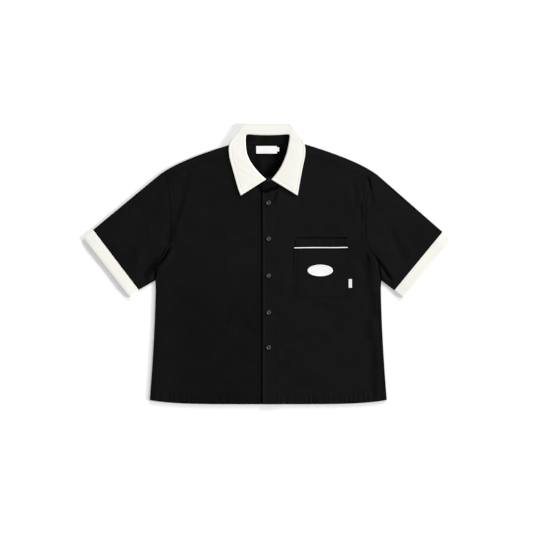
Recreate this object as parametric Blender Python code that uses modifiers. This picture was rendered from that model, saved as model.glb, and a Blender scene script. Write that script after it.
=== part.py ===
"""Bowling shirt laid flat, front up: black cloth with a cream collar and cream sleeve bands.

The shirt lies in the XY plane with its collar towards +Y, and +Z is up. The wearer's left is at +X. Every cloth
piece is a thin wall: a surface of rows and columns through its middle, given its thickness by Solidify. Distances
are in metres. Plan curves are measured from the centre front line, half way between collar and hem.
"""

import math

import bmesh
import bpy
import numpy as np

# The garment's own sizes
CENTRE_X = 0.002            # the centre front line, from the middle of the whole outline
HALF_LENGTH = 0.350         # from the origin to the collar's fold, and to the hem
CHEST_HALF = 0.281          # half the width at the armpits
HEM_FLARE = 0.016           # what each side gains from there to the hem
HEM_RISE = 0.0105           # how far the hem's corners lie above its middle
ARMPIT_Y = -0.040
CUFF_DEPTH = 0.0285

# Cloth walls and the heights of the layers
WALL = 0.0012               # one layer of the body's cloth
LEAF_WALL = 0.0014
CUFF_WALL = 0.0014
TRIM_WALL = 0.0010
GAP = 0.0003                # between pieces that meet or lie on each other
SEAM = 0.0005               # between two panels' edges, across the garment
FLOOR_MID = WALL / 2        # middle of the layer that lies on the surface
FOLD = 0.0009               # radius of a side fold, to the middle of the wall
TOP_MID = FLOOR_MID + 2 * FOLD
FRONT_LIFT = 0.0015         # how far the front rises between its edges
LIFT_REACH = 0.030          # how far in from an edge it has risen
FOLD_STEPS = 4
FOLD_IN = FOLD + WALL / 2   # from the outline to the middle line of a fold

# Shoulder line: a curve from the collar to the sleeve's straight upper edge
NECK_POINT = (0.098, 0.2975)
SHOULDER_TURN = (0.2311, 0.2568)
SLEEVE_HEAD = (0.27575, 0.220)

# Armhole, as a distance from the centre at each height
ARMHOLE_X = 0.2425
ARMHOLE_TOP_FLARE = 0.0155
ARMHOLE_SCYE = (0.068, -0.015)   # heights between which it curves out to the armpit
ARMHOLE_TOP_Y = 0.2325
BACK_YOKE_Y = 0.200
FRONT_YOKE_DROP = 0.0245    # front yoke seam, below the shoulder fold
ARMHOLE_SAMPLES = (ARMHOLE_TOP_Y, 0.2230, 0.2125, BACK_YOKE_Y, 0.180, 0.160, 0.140, 0.120, 0.100, 0.085,
                   0.070, 0.055, 0.040, 0.025, 0.010, -0.010, ARMPIT_Y + 0.0015)
FRONT_YOKE_SAMPLE = 2       # the one at the front yoke seam
BACK_YOKE_SAMPLE = 3        # the one at the back yoke seam

# Neck seam and the collar stand's upper edge: quarter ellipses in front, nearly straight behind
NECK_SEAM = (0.072, 0.120, 0.305)        # half width, depth, height of the ellipse's centre
STAND_TOP = (0.0565, 0.1025, 0.320)
BACK_NECK_DIP = 0.007
BACK_STAND_TOP_Y = 0.3232
BACK_STAND_TOP_MID = 0.0060              # height of its middle above the surface
SIDE_STAND_TOP_MID = 0.0062

# Front edges and the lap between them
LEFT_EDGE_TOP_X = -0.018
LEFT_EDGE_HEM_X = -0.0155
RIGHT_EDGE_X = 0.016
LAP_MID = 0.0039            # middle of the left front where it lies on the right one
LAP_REACH = (0.020, 0.045)  # the lap's level holds to the first, and has gone at the second
UNDER_MID = 0.0021

SIDE_SEAM_IN = 0.006        # side seams, in from the side folds

# The sleeves' ends: where each cuff's upper and lower corners lie
#          side  upper corner        lower corner        outer upper corner  outer lower corner
SLEEVES = (
    ("right", -1, (0.43825, 0.0850), (0.32450, -0.0650), (0.46075, 0.0650), (0.34450, -0.0835)),
    ("left", 1, (0.43550, 0.0800), (0.31525, -0.0660), (0.45675, 0.0600), (0.33550, -0.0840)),
)

# Largest folds of the upper layer, each a soft trough or ridge between two points
#        start              end                half width  height
FOLDS = (
    ((0.259, 0.037), (0.309, -0.050), 0.010, -0.0015),
    ((0.250, 0.000), (0.262, -0.330), 0.014, -0.0010),
    ((0.214, 0.190), (0.224, 0.130), 0.009, -0.0010),
    ((0.257, 0.205), (0.256, 0.150), 0.006, -0.0008),
    ((0.317, 0.045), (0.330, -0.005), 0.010, -0.0007),
    ((-0.191, 0.235), (-0.233, 0.085), 0.010, -0.0012),
    ((-0.249, 0.042), (-0.281, -0.028), 0.008, -0.0015),
    ((-0.291, -0.005), (-0.308, -0.042), 0.008, -0.0010),
    ((-0.264, 0.010), (-0.276, -0.030), 0.006, 0.0008),
)

# Collar leaf, at each section from the middle of the back to the front edge of one half. Both halves share them.
# Each edge is shifted by its own askew, because the collar lies a little crooked. Inner mid is the height of the
# middle of the wall at the inner edge, and tuck is what is folded under behind.
#        inner x  inner y  inner mid  askew     outer x  outer y   askew    tuck
LEAF_SECTIONS = (
    (0.0000, 0.3210, 0.0078, -0.0020, 0.0000, 0.3500, -0.0032, 0.036),
    (0.0270, 0.3215, 0.0078, -0.0020, 0.0280, 0.3500, -0.0032, 0.036),
    (0.0475, 0.3222, 0.0078, -0.0019, 0.0535, 0.3500, -0.0032, 0.035),
    (0.0525, 0.3216, 0.0078, -0.0018, 0.0640, 0.3408, -0.0032, 0.024),
    (0.0540, 0.3190, 0.0080, -0.0017, 0.0760, 0.3236, -0.0032, 0.010),
    (0.0540, 0.3140, 0.0080, -0.0018, 0.0878, 0.3074, -0.0032, 0.003),
    (0.0538, 0.3110, 0.0080, -0.0019, 0.0889, 0.3060, -0.0032, 0.000),
    (0.0532, 0.3040, 0.0080, -0.0025, 0.0953, 0.2965, -0.0030, 0.000),
    (0.0518, 0.2930, 0.0080, -0.0031, 0.0963, 0.2840, -0.0021, 0.000),
    (0.0486, 0.2760, 0.0078, -0.0037, 0.0948, 0.2660, -0.0020, 0.000),
    (0.0415, 0.2580, 0.0074, -0.0034, 0.0876, 0.2375, -0.0014, 0.000),
    (0.0316, 0.2400, 0.0070, -0.0016, 0.0810, 0.2100, -0.0001, 0.000),
    (0.0204, 0.2250, 0.0067, -0.0004, 0.0756, 0.1870, 0.0012, 0.000),
    (0.0072, 0.2112, 0.0066, 0.0012, 0.0706, 0.1716, 0.0024, 0.000),
)
LEAF_ACROSS = (0.0, 0.12, 0.42, 0.75, 1.0)
LEAF_CROWN = 0.0008
LEAF_FOLD_MID = 0.0062      # middle of the leaf's upper layer beside its fold at the back

# Pocket on the left front
POCKET = (0.0640, 0.2005, -0.0825, 0.0390)       # x from, x to, y from, y to
POCKET_BAND = (0.0685, 0.1975, 0.0434, 0.0668)
PIPING_Y = 0.0412
PIPING_RADIUS = 0.0017
PIPING_SPAN = (0.0648, 0.2000)
PATCH_CENTRE = (0.12925, -0.01625)
PATCH_SIZE = (0.067, 0.0325)
FLAG = (0.2009, 0.2115, -0.0600, -0.0370)
NECK_LABEL = (-0.03125, 0.02125, 0.2750, 0.2960)
SIZE_TAB = (0.02155, 0.02900, 0.2800, 0.2925)

BUTTON_X = 0.0010
BUTTON_YS = (0.1532, 0.0635, -0.0290, -0.1205, -0.2085)
BUTTON_RADIUS = 0.00575
STAND_BUTTON = (0.0016, 0.2090, 0.0049)          # x, y, radius

BLACK = (0.0095, 0.0095, 0.0105, 1.0)
CREAM = (0.87, 0.85, 0.79, 1.0)
WHITE = (0.88, 0.88, 0.87, 1.0)
BUTTON_GREY = (0.045, 0.045, 0.048, 1.0)


def smooth(t):
    """0 below 0, 1 above 1, and an even S between."""
    t = np.clip(t, 0.0, 1.0)
    return t * t * (3 - 2 * t)


def side_x(y):
    """Half the body's width at each height below the armpits: a gentle flare to the hem."""
    t = np.clip((ARMPIT_Y - y) / (HALF_LENGTH + ARMPIT_Y), 0.0, 1.0)
    return CHEST_HALF + HEM_FLARE * t**1.6


def hem_y(x):
    """The hem: level, with its two corners a little higher."""
    return -HALF_LENGTH + HEM_RISE * np.abs(x / (CHEST_HALF + HEM_FLARE)) ** 5


def armhole_x(y):
    """Half the width at the armhole seam: near upright, flaring at the shoulder and curving out to the armpit."""
    top = ARMHOLE_TOP_FLARE * np.clip((y - 0.100) / (ARMHOLE_TOP_Y - 0.100), 0.0, 1.0) ** 2
    scye = smooth((ARMHOLE_SCYE[0] - y) / (ARMHOLE_SCYE[0] - ARMHOLE_SCYE[1]))
    return ARMHOLE_X + top + (CHEST_HALF - ARMHOLE_X) * scye


def shoulder_curve(count):
    """The shoulder line from the neck side to the head of the sleeve, as points."""
    t = np.linspace(0.0, 1.0, count)[:, None]
    neck, turn, head = (np.array(p) for p in (NECK_POINT, SHOULDER_TURN, SLEEVE_HEAD))
    curve = (1 - t) ** 2 * neck + 2 * t * (1 - t) * turn + t**2 * head
    inner = neck - (turn - neck) * (neck[0] - 0.040) / (turn[0] - neck[0])
    return np.vstack([inner, curve])


def upper_edge(side):
    """The whole upper outline of one side, from inside the collar to the cuff's upper corner."""
    return np.vstack([shoulder_curve(24), SLEEVES[side][2]])


def upper_y(x, side=1):
    edge = upper_edge(side)
    return np.interp(x, edge[:, 0], edge[:, 1])


def upper_fold(x, side=1):
    """The middle line of the fold along the upper outline, at each x, and the outward direction there."""
    edge = resample(upper_edge(side), 160)
    out = -outward(edge)
    inner = edge - FOLD_IN * out
    y = np.interp(x, inner[:, 0], inner[:, 1])
    direction = np.stack([np.interp(x, inner[:, 0], out[:, k]) for k in (0, 1)], -1)
    return np.stack([x, y], -1), direction / np.linalg.norm(direction, axis=-1, keepdims=True)


def neck_ring(theta, ellipse, more=0.0):
    """A point of the neck's front half at an angle from the centre front: 0 there and 90 degrees at the side."""
    width, depth, centre_y = ellipse
    return np.stack(
        [(width + more) * np.sin(theta), centre_y - (depth + more) * np.cos(theta)], axis=-1
    )


def silhouette(side):
    """Half the black cloth's outline, as points from the hem's middle to the collar."""
    x = np.linspace(0.0, side_x(-HALF_LENGTH), 12)
    y = np.linspace(hem_y(x[-1]), ARMPIT_Y, 8)
    _, _, _, lower, _, outer_lower = SLEEVES[side]
    outer_upper = SLEEVES[side][4]
    edge = upper_edge(side)[::-1]
    return np.vstack(
        [np.stack([x, hem_y(x)], 1), np.stack([side_x(y), y], 1), lower, outer_lower, outer_upper, edge]
    )


def edge_distance(x, y, side):
    """How far points of one half lie inside the outline, and from the neck seam."""
    line = silhouette(side)
    line = np.vstack([line, neck_ring(np.linspace(1.5, 0.0, 12), NECK_SEAM)])
    nearest = np.full(np.shape(x), 1.0)
    for a, b in zip(line[:-1], line[1:]):
        along = b - a
        t = ((x - a[0]) * along[0] + (y - a[1]) * along[1]) / max(float(along @ along), 1e-12)
        t = np.clip(t, 0.0, 1.0)
        nearest = np.minimum(nearest, np.hypot(x - a[0] - t * along[0], y - a[1] - t * along[1]))
    return nearest


def front_mid(x, y):
    """Middle of the upper layer at a place, with x signed: low at the outline, raised inside it, with the folds."""
    side = (np.asarray(x) > 0).astype(int)
    inside = np.where(
        side == 1, edge_distance(np.abs(x), y, 1), edge_distance(np.abs(x), y, 0)
    )
    rise = FRONT_LIFT * smooth(inside / LIFT_REACH)
    fade = smooth(inside / 0.012)
    for start, end, width, height in FOLDS:
        a, b = np.array(start), np.array(end)
        along = b - a
        t = ((x - a[0]) * along[0] + (y - a[1]) * along[1]) / float(along @ along)
        t = np.clip(t, 0.0, 1.0)
        off = np.hypot(x - a[0] - t * along[0], y - a[1] - t * along[1])
        rise = rise + height * fade * np.exp(-((off / width) ** 2))
    return TOP_MID + np.maximum(rise, -0.0002)


def right_front_mid(x, y):
    """The right front, which dips to pass under the left one."""
    under = smooth((x + LAP_REACH[1]) / (LAP_REACH[1] - LAP_REACH[0]))
    return front_mid(x, y) * (1 - under) + UNDER_MID * under


def left_front_mid(x, y):
    """The left front, level where it laps over the right one."""
    over = 1 - smooth((x - LAP_REACH[0]) / (LAP_REACH[1] - LAP_REACH[0]))
    return front_mid(x, y) * (1 - over) + LAP_MID * over


def coons(left, right, bottom, top, across=None):
    """A grid of plan points filled in between four edges: rows follow left and right, columns bottom and top."""
    v = np.linspace(0.0, 1.0, len(left))[:, None, None]
    u = (np.linspace(0.0, 1.0, len(bottom)) if across is None else across)[None, :, None]
    ruled = (1 - u) * left[:, None] + u * right[:, None]
    ruled = ruled + (1 - v) * bottom[None] + v * top[None]
    corners = (1 - u) * (1 - v) * left[0] + u * (1 - v) * right[0]
    corners = corners + (1 - u) * v * left[-1] + u * v * right[-1]
    return ruled - corners


def resample(points, count):
    """Points spaced evenly along a line of points."""
    points = np.asarray(points, float)
    step = np.linalg.norm(np.diff(points, axis=0), axis=1)
    along = np.concatenate([[0.0], np.cumsum(step)])
    at = np.linspace(0.0, along[-1], count)
    return np.stack([np.interp(at, along, points[:, k]) for k in range(points.shape[1])], 1)


def outward(points):
    """The plan direction at right angles to a line of points, to the right of its run."""
    run = np.gradient(np.asarray(points, float), axis=0)
    run = run / np.linalg.norm(run, axis=1, keepdims=True)
    return np.stack([run[:, 1], -run[:, 0]], 1)


def lifted(plan, height):
    """Plan points given a height each."""
    height = np.broadcast_to(height, plan.shape[:-1])
    return np.concatenate([plan, height[..., None]], axis=-1)


def fold_arc(centre, out, top, bottom, steps=FOLD_STEPS):
    """Points round a fold from the upper layer to the lower one, without its two ends, for each point of a line."""
    angle = np.linspace(0.0, math.pi, steps + 1)[1:-1]
    radius = (top - bottom) / 2
    middle = (top + bottom) / 2
    plan = centre[None] + np.sin(angle)[:, None, None] * radius[None, :, None] * out[None]
    return lifted(plan, middle[None] + np.cos(angle)[:, None] * radius[None])


# Scene, collection and materials

for old in list(bpy.data.objects):
    bpy.data.objects.remove(old, do_unlink=True)

shirt = bpy.data.collections.new("bowling_shirt")
bpy.context.scene.collection.children.link(shirt)
origin = bpy.data.objects.new("bowling_shirt_origin", None)
origin.location = (CENTRE_X, 0.0, 0.0)
shirt.objects.link(origin)


def material(name, colour, roughness):
    made = bpy.data.materials.new(name)
    made.use_nodes = True
    shader = made.node_tree.nodes["Principled BSDF"]
    shader.inputs["Base Color"].default_value = colour
    shader.inputs["Roughness"].default_value = roughness
    shader.inputs["Metallic"].default_value = 0.0
    made.diffuse_color = colour
    return made


BLACK_CLOTH = material("black_twill", BLACK, 0.85)
CREAM_CLOTH = material("cream_twill", CREAM, 0.85)
WHITE_CLOTH = material("white_trim", WHITE, 0.7)
BUTTON_PLASTIC = material("button_plastic", BUTTON_GREY, 0.35)


def placed(name, mesh, finish):
    """An object of the shirt, hung on the origin and shaded smooth."""
    piece = bpy.data.objects.new(name, mesh)
    mesh.materials.append(finish)
    mesh.shade_smooth()
    shirt.objects.link(piece)
    piece.parent = origin
    return piece


def cloth(name, points, wall, finish, ring=False):
    """A cloth wall about a grid of middle points. A grid place with no point is left out, and a ring closes."""
    rows, columns = points.shape[:2]
    if ring:
        points = np.concatenate([points, points[:1]])
    there = ~np.isnan(points[..., 0])
    whole = there[:-1, :-1] & there[:-1, 1:] & there[1:, 1:] & there[1:, :-1]
    r, c = np.nonzero(whole)
    turn = (lambda k: k % rows) if ring else (lambda k: k)
    quads = np.stack(
        [
            turn(r) * columns + c,
            turn(r) * columns + c + 1,
            turn(r + 1) * columns + c + 1,
            turn(r + 1) * columns + c,
        ],
        1,
    )
    used, quads = np.unique(quads, return_inverse=True)
    corners = points[:rows].reshape(-1, 3)[used]
    mesh = bpy.data.meshes.new(name)
    mesh.from_pydata(corners.tolist(), [], quads.reshape(-1, 4).tolist())
    mesh.validate()
    piece = placed(name, mesh, finish)
    thick = piece.modifiers.new("wall", "SOLIDIFY")
    thick.thickness = wall
    thick.offset = 0.0
    thick.use_even_offset = True
    thick.use_quality_normals = True
    return piece


# Back panel: lies on the surface and wraps round each side fold to the side seam on the upper layer


def body_rows(count):
    """Heights from the hem to just below the armpit, as shares, for each row of a body panel."""
    return np.linspace(0.0, 1.0, count)


BODY_ROWS = 12
BODY_TOP_Y = ARMPIT_Y - 0.0010


def side_fold():
    """The middle line of the side fold from the hem to the armpit, at +X, and how far the wrap reaches in from it."""
    share = body_rows(BODY_ROWS)
    y = hem_y(side_x(-HALF_LENGTH)) * (1 - share) + BODY_TOP_Y * share
    wrap = (SIDE_SEAM_IN - FOLD_IN) * smooth((1 - share) * 4) + 0.0005
    return np.stack([side_x(y) - FOLD_IN, y], 1), wrap


def back_panel():
    fold, wrap = side_fold()
    scye_y = np.array(ARMHOLE_SAMPLES[BACK_YOKE_SAMPLE:-1][::-1])
    scye = np.stack([armhole_x(scye_y) - SEAM / 2, scye_y], 1)
    scye[-1, 1] -= SEAM / 2
    right = np.vstack([fold, scye])
    left = right * (-1, 1)
    x = np.linspace(left[0, 0], right[0, 0], 11)
    top = np.stack([np.linspace(left[-1, 0], right[-1, 0], 11), np.full(11, right[-1, 1])], 1)
    flat = lifted(coons(left, right, np.stack([x, hem_y(x)], 1), top), FLOOR_MID)
    level = np.full(len(fold), TOP_MID)
    out = np.tile([1.0, 0.0], (len(fold), 1))
    arc = fold_arc(fold, out, level, np.full(len(fold), FLOOR_MID))
    inner = lifted(fold - wrap[:, None] * (1, 0), TOP_MID)
    flap = np.concatenate([inner[None], lifted(fold, TOP_MID)[None], arc]).transpose(1, 0, 2)
    absent = np.full((len(scye), flap.shape[1], 3), np.nan)
    flap = np.concatenate([flap, absent])
    grid = np.concatenate([flap * (-1, 1, 1), flat, flap[:, ::-1]], axis=1)
    return cloth("back", grid, WALL, BLACK_CLOTH)


# Yoke: its back lies on the surface, and it wraps over both shoulders to the front yoke seams

# Columns from the neck side to the armhole, as shares: close together where the front's folds are
ACROSS = np.array([0.0, 0.06, 0.12, 0.20, 0.30, 0.42, 0.54, 0.65, 0.74, 0.80, 0.85, 0.90, 0.95, 1.0])
SHOULDER_COLUMNS = len(ACROSS)


def front_neck_angle():
    """Where the front yoke seam meets the neck seam, as an angle of its ellipse."""
    theta = np.linspace(0.9, 1.5, 200)
    point = neck_ring(theta, NECK_SEAM)
    return float(np.interp(0.0, point[:, 1] - upper_y(point[:, 0]) + FRONT_YOKE_DROP, theta))


NECK_END = front_neck_angle()
NECK_ANGLES = np.append(np.radians([0, 12, 24, 36, 47, 58, 68]), NECK_END)    # shared by the stand and the fronts


def lap_angle(edge_x):
    """Where a front edge that far past the centre meets the neck seam."""
    return -math.asin(edge_x / NECK_SEAM[0])


def front_yoke_seam():
    """The front yoke seam from the neck to the armhole, at +X."""
    start = neck_ring(NECK_END, NECK_SEAM)[0]
    x = start + ACROSS * (armhole_x(ARMHOLE_SAMPLES[FRONT_YOKE_SAMPLE]) - start)
    y = upper_y(x) - FRONT_YOKE_DROP
    y[-1] = ARMHOLE_SAMPLES[FRONT_YOKE_SAMPLE]
    return np.stack([x, y], 1)


def back_neck_y(x):
    return NECK_SEAM[2] - BACK_NECK_DIP * (1 - (x / NECK_SEAM[0]) ** 2)


def yoke():
    ridge_x = NECK_SEAM[0] + SEAM / 2 + ACROSS * (armhole_x(ARMHOLE_TOP_Y) - SEAM - NECK_SEAM[0])
    ridge, out = upper_fold(ridge_x)
    seam = front_yoke_seam() + (0.0, SEAM / 2)
    seam[0, 0] += SEAM / 2
    seam[-1, 0] -= SEAM / 2
    middle_y = ARMHOLE_SAMPLES[1]
    middle = (ridge + seam) / 2
    middle[-1] = (armhole_x(middle_y) - SEAM / 2, middle_y)
    middle[0] = neck_ring((NECK_END + math.pi / 2) / 2, NECK_SEAM) + (SEAM / 2, 0.0)
    arm_y = np.array([BACK_YOKE_Y + SEAM / 2, ARMHOLE_SAMPLES[2], ARMHOLE_SAMPLES[1], ridge[-1, 1]])
    arm = np.stack([armhole_x(arm_y) - SEAM / 2, arm_y], 1)
    arm[-1] = ridge[-1]
    inner = np.linspace([ridge[0, 0], arm_y[0]], ridge[0], 4)
    base = inner[0] + ACROSS[:, None] * (arm[0] - inner[0])
    shoulder = lifted(coons(inner, arm, base, ridge, ACROSS), FLOOR_MID)
    neck_x = np.linspace(-ridge[0, 0], ridge[0, 0], 9)[1:-1]
    share = np.linspace(0.0, 1.0, 4)[:, None]
    neck_y = arm_y[0] * (1 - share) + (back_neck_y(neck_x) - SEAM / 2) * share
    neck = lifted(np.stack([np.broadcast_to(neck_x, neck_y.shape), neck_y], -1), FLOOR_MID)
    under = np.concatenate([shoulder[:, ::-1] * (-1, 1, 1), neck, shoulder], axis=1)
    top = np.full(SHOULDER_COLUMNS, TOP_MID)
    arc = fold_arc(ridge, out, top, np.full(SHOULDER_COLUMNS, FLOOR_MID))[::-1]
    over = np.stack([lifted(line, TOP_MID) for line in (ridge, middle, seam)])
    flap = np.concatenate([arc, over])
    absent = np.full((len(flap), neck.shape[1], 3), np.nan)
    flaps = np.concatenate([flap[:, ::-1] * (-1, 1, 1), absent, flap], axis=1)
    return cloth("yoke", np.concatenate([under, flaps]), WALL, BLACK_CLOTH)


# Fronts: from the hem to the front yoke seam, and from the front edge to the side seam and armhole

def front_panel(name, sign, edge_x, mid):
    """One front in plan, at +X, with its own front edge, then mirrored to its side and given its height."""
    fold, wrap = side_fold()
    seam = fold - (wrap + SEAM)[:, None] * (1, 0)
    scye_y = np.array(ARMHOLE_SAMPLES[FRONT_YOKE_SAMPLE:-1][::-1])
    scye = np.stack([armhole_x(scye_y) - SEAM / 2, scye_y], 1)
    scye[-1, 1] -= SEAM / 2
    outer = np.vstack([seam, scye])
    neckline = neck_ring(np.insert(NECK_ANGLES, 0, lap_angle(-edge_x[1])), NECK_SEAM, SEAM / 2)
    neckline[-1, 1] -= SEAM / 2
    share = np.linspace(0.0, 1.0, len(outer) - len(neckline) + 1)[:-1, None]
    foot = np.array([edge_x[0], hem_y(edge_x[0])])
    edge = foot * (1 - share) + neckline[0] * share
    inner = np.vstack([edge, neckline])
    x = inner[0, 0] + ACROSS * (outer[0, 0] - inner[0, 0])
    hem = np.stack([x, hem_y(x)], 1)
    hem[-1] = outer[0]
    top = front_yoke_seam() - (0.0, SEAM / 2)
    top[0], top[-1] = inner[-1], outer[-1]
    plan = coons(inner, outer, hem, top, ACROSS) * (sign, 1)
    grid = lifted(plan, mid(plan[..., 0], plan[..., 1]))
    return cloth(name, grid if sign > 0 else grid[:, ::-1], WALL, BLACK_CLOTH)


# Sleeves and cuffs: flattened tubes


def tube(name, plan, out_first, out_last, top_mid, bottom_mid, wall, finish):
    """A flattened tube on a plan grid. Its rows run from the upper fold to the lower, its columns to its open end."""
    upper = lifted(plan, top_mid)
    lower = lifted(plan, bottom_mid)
    bottom = np.full(plan.shape[1], bottom_mid)
    last = fold_arc(plan[-1], out_last, upper[-1, :, 2], bottom)
    first = fold_arc(plan[0], out_first, upper[0, :, 2], bottom)
    ring = np.concatenate([upper, last, lower[::-1], first[::-1]])
    return cloth(name, ring, wall, finish, ring=True)


SLEEVE_COLUMNS = 9


def sleeve(side):
    name, sign, upper_corner, lower_corner = SLEEVES[side][:4]
    arm_y = np.array(ARMHOLE_SAMPLES)
    arm = np.stack([armhole_x(arm_y) + SEAM / 2, arm_y], 1)
    head, head_out = upper_fold(np.linspace(arm[0, 0], upper_corner[0] - SEAM, SLEEVE_COLUMNS), side)
    arm[0] = head[0]
    low_out = np.tile(outward([arm[-1], lower_corner])[0], (SLEEVE_COLUMNS, 1))
    low_end = np.array(lower_corner) - FOLD_IN * low_out[0]
    low = np.linspace(arm[-1], low_end, SLEEVE_COLUMNS)
    step = np.linalg.norm(np.diff(arm, axis=0), axis=1)
    share = np.concatenate([[0.0], np.cumsum(step)])[:, None] / step.sum()
    mouth = head[-1] * (1 - share) + low[-1] * share
    plan = coons(arm, mouth, head, low) * (sign, 1)
    mid = front_mid(plan[..., 0], plan[..., 1])
    mid[0] = mid[-1] = TOP_MID
    if sign < 0:
        plan, mid = plan[:, ::-1], mid[:, ::-1]
        head_out, low_out = head_out[::-1], low_out[::-1]
    return tube(
        f"sleeve_{name}", plan, head_out * (sign, 1), low_out * (sign, 1), mid, FLOOR_MID, WALL, BLACK_CLOTH
    )


def cuff(side):
    name, sign, upper_in, lower_in, upper_out, lower_out = SLEEVES[side]
    corners = np.array([upper_in, lower_in, upper_out, lower_out])
    axis = corners[2] - corners[0]
    axis = axis / np.linalg.norm(axis)
    corners[:2] += axis * (SEAM + GAP)
    down = (corners[1] - corners[0]) / np.linalg.norm(corners[1] - corners[0])
    floor_mid = CUFF_WALL / 2
    radius = FOLD + 0.0002
    inset = radius + CUFF_WALL / 2
    share = np.linspace(0.0, 1.0, 9)[:, None, None]
    start = corners[[0, 2]] + down * inset
    end = corners[[1, 3]] - down * inset
    plan = start[None] * (1 - share) + end[None] * share
    plan = np.stack([plan[:, 0], plan.mean(axis=1), plan[:, 1]], 1) * (sign, 1)
    mid = floor_mid + 2 * radius + 0.0008 * np.sin(math.pi * share[..., 0]) ** 2
    mid = np.broadcast_to(mid, plan.shape[:2])
    out = np.tile(-down, (3, 1)) * (sign, 1)
    if sign < 0:
        plan, out = plan[:, ::-1], out[::-1]
    return tube(f"cuff_{name}", plan, out, -out, mid, floor_mid, CUFF_WALL, CREAM_CLOTH)


# Collar stand: a band round the neck, lapped at the front, folded at both sides of the neck

def stand_rings(edge_x):
    """The stand's lower and upper lines, from one end at the front to the middle of the neck's back."""
    theta = np.insert(NECK_ANGLES, 0, lap_angle(edge_x))
    rings = []
    for ellipse, more, back_y in (
        (NECK_SEAM, -SEAM / 2, None),
        (STAND_TOP, 0.0, BACK_STAND_TOP_Y),
    ):
        front = neck_ring(theta, ellipse, more)
        side = neck_ring(math.pi / 2, ellipse, more)
        if not back_y:
            side = side + (-GAP, GAP)
        half = np.linspace(0.92, 0.0, 5)[:, None] * side[0]
        behind = np.full_like(half, back_y) if back_y else back_neck_y(half) + SEAM / 2
        back = np.hstack([half, behind])
        if back_y:
            back[0, 1] = (back_y + side[1]) / 2 + 0.0008
        upper, low = (SIDE_STAND_TOP_MID, 0.0040) if back_y else (TOP_MID, FLOOR_MID)
        fold_out = np.array([[0.67, 0.74]])
        arc = fold_arc(side[None], fold_out, np.array([upper]), np.array([low]))[:, 0]
        rings.append((front, side, arc, back, upper, low))
    return rings


def stand_grid():
    """Middle points of the stand: two lines of the same count, joined by straight sections."""
    lines = []
    ends = zip(stand_rings(-LEFT_EDGE_TOP_X), stand_rings(RIGHT_EDGE_X))
    for level, ((front, side, arc, back, upper, low), (under_front, *_)) in enumerate(ends):
        turn = np.linspace(0.0, 1.0, len(front))
        centre = (LAP_MID + 0.0002, 0.0046)[level]
        under = (UNDER_MID, 0.0026)[level]
        to_over = centre + (upper - centre) * smooth(turn * 1.3 - 0.2)
        to_under = under + (upper - under) * smooth(turn * 1.3 - 0.25)
        behind_mid = low + ((BACK_STAND_TOP_MID if level else low) - low) * smooth(np.linspace(0, 1, len(back)))
        over_half = np.vstack(
            [lifted(front, to_over), lifted(side[None], upper), arc, lifted(side[None], low)]
        )
        under_half = np.vstack(
            [lifted(under_front, to_under), lifted(side[None], upper), arc, lifted(side[None], low)]
        )
        behind = lifted(back, behind_mid)
        right_half = np.vstack([under_half, behind]) * (-1, 1, 1)
        left_half = np.vstack([over_half, behind[:-1]])[::-1]
        lines.append(np.vstack([right_half, left_half]))
    low_line, top_line = lines
    share = np.linspace(0.0, 1.0, 4)[:, None, None]
    return low_line[None] * (1 - share) + top_line[None] * share


def collar_stand():
    return cloth("collar_stand", stand_grid(), WALL, BLACK_CLOTH)


# Collar leaf: turned down over the stand in front, folded under behind


def leaf_support(x, y):
    """Middle height of the leaf where it just rests on the front or on the shoulder's yoke."""
    return left_front_mid(x, y) + WALL / 2 + 2 * GAP + LEAF_WALL / 2


def leaf_half(sign):
    """Sections of one half of the leaf from the middle of the back, each from its inner edge to its last point."""
    rows = []
    for inner_x, inner_y, inner_mid, inner_askew, outer_x, outer_y, outer_askew, tuck in LEAF_SECTIONS:
        inner = np.array([inner_x * sign + inner_askew, inner_y])
        outer = np.array([outer_x * sign + outer_askew, outer_y])
        run = (outer - inner) / np.linalg.norm(outer - inner)
        if inner_x == 0:
            run = np.array([0.0, 1.0])
        base = float(leaf_support(np.array(abs(outer[0])), np.array(min(outer[1], 0.295))))
        outer_mid = LEAF_FOLD_MID if tuck > 0.01 else base + 0.0008 * (tuck > 0)
        radius = (outer_mid - LEAF_WALL / 2) / 2
        edge = outer - run * (radius + LEAF_WALL / 2) if tuck else outer
        share = np.array(LEAF_ACROSS)
        plan = inner + share[:, None] * (edge - inner)
        mid = inner_mid + share * (outer_mid - inner_mid) + LEAF_CROWN * np.sin(math.pi * share)
        section = lifted(plan, mid)
        if tuck:
            arc = fold_arc(edge[None], run[None], np.array([outer_mid]), np.array([LEAF_WALL / 2]), 5)[:, 0]
            back = edge - run * tuck * np.array([[0.0], [0.5], [1.0]])
            section = np.vstack([section, arc, lifted(back, LEAF_WALL / 2)])
        else:
            section = np.vstack([section, np.full((7, 3), np.nan)])
        rows.append(section)
    return np.stack(rows)


def collar_leaf():
    grid = np.concatenate([leaf_half(-1)[:0:-1], leaf_half(1)])
    return cloth("collar_leaf", grid, LEAF_WALL, CREAM_CLOTH)


# Pocket, its band, piping, patch and labels: flat pieces with rounded corners, laid on what carries them


def flat_piece(name, outline, mid, wall, finish):
    """A flat outline filled and given its thickness."""
    curve = bpy.data.curves.new(name, "CURVE")
    curve.dimensions = "2D"
    curve.fill_mode = "BOTH"
    curve.extrude = wall / 2
    spline = curve.splines.new("POLY")
    spline.points.add(len(outline) - 1)
    spline.use_cyclic_u = True
    for point, (x, y) in zip(spline.points, outline):
        point.co = (x, y, 0.0, 1.0)
    piece = bpy.data.objects.new(name, curve)
    curve.materials.append(finish)
    shirt.objects.link(piece)
    piece.parent = origin
    piece.location = (0.0, 0.0, mid)
    return piece


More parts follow.
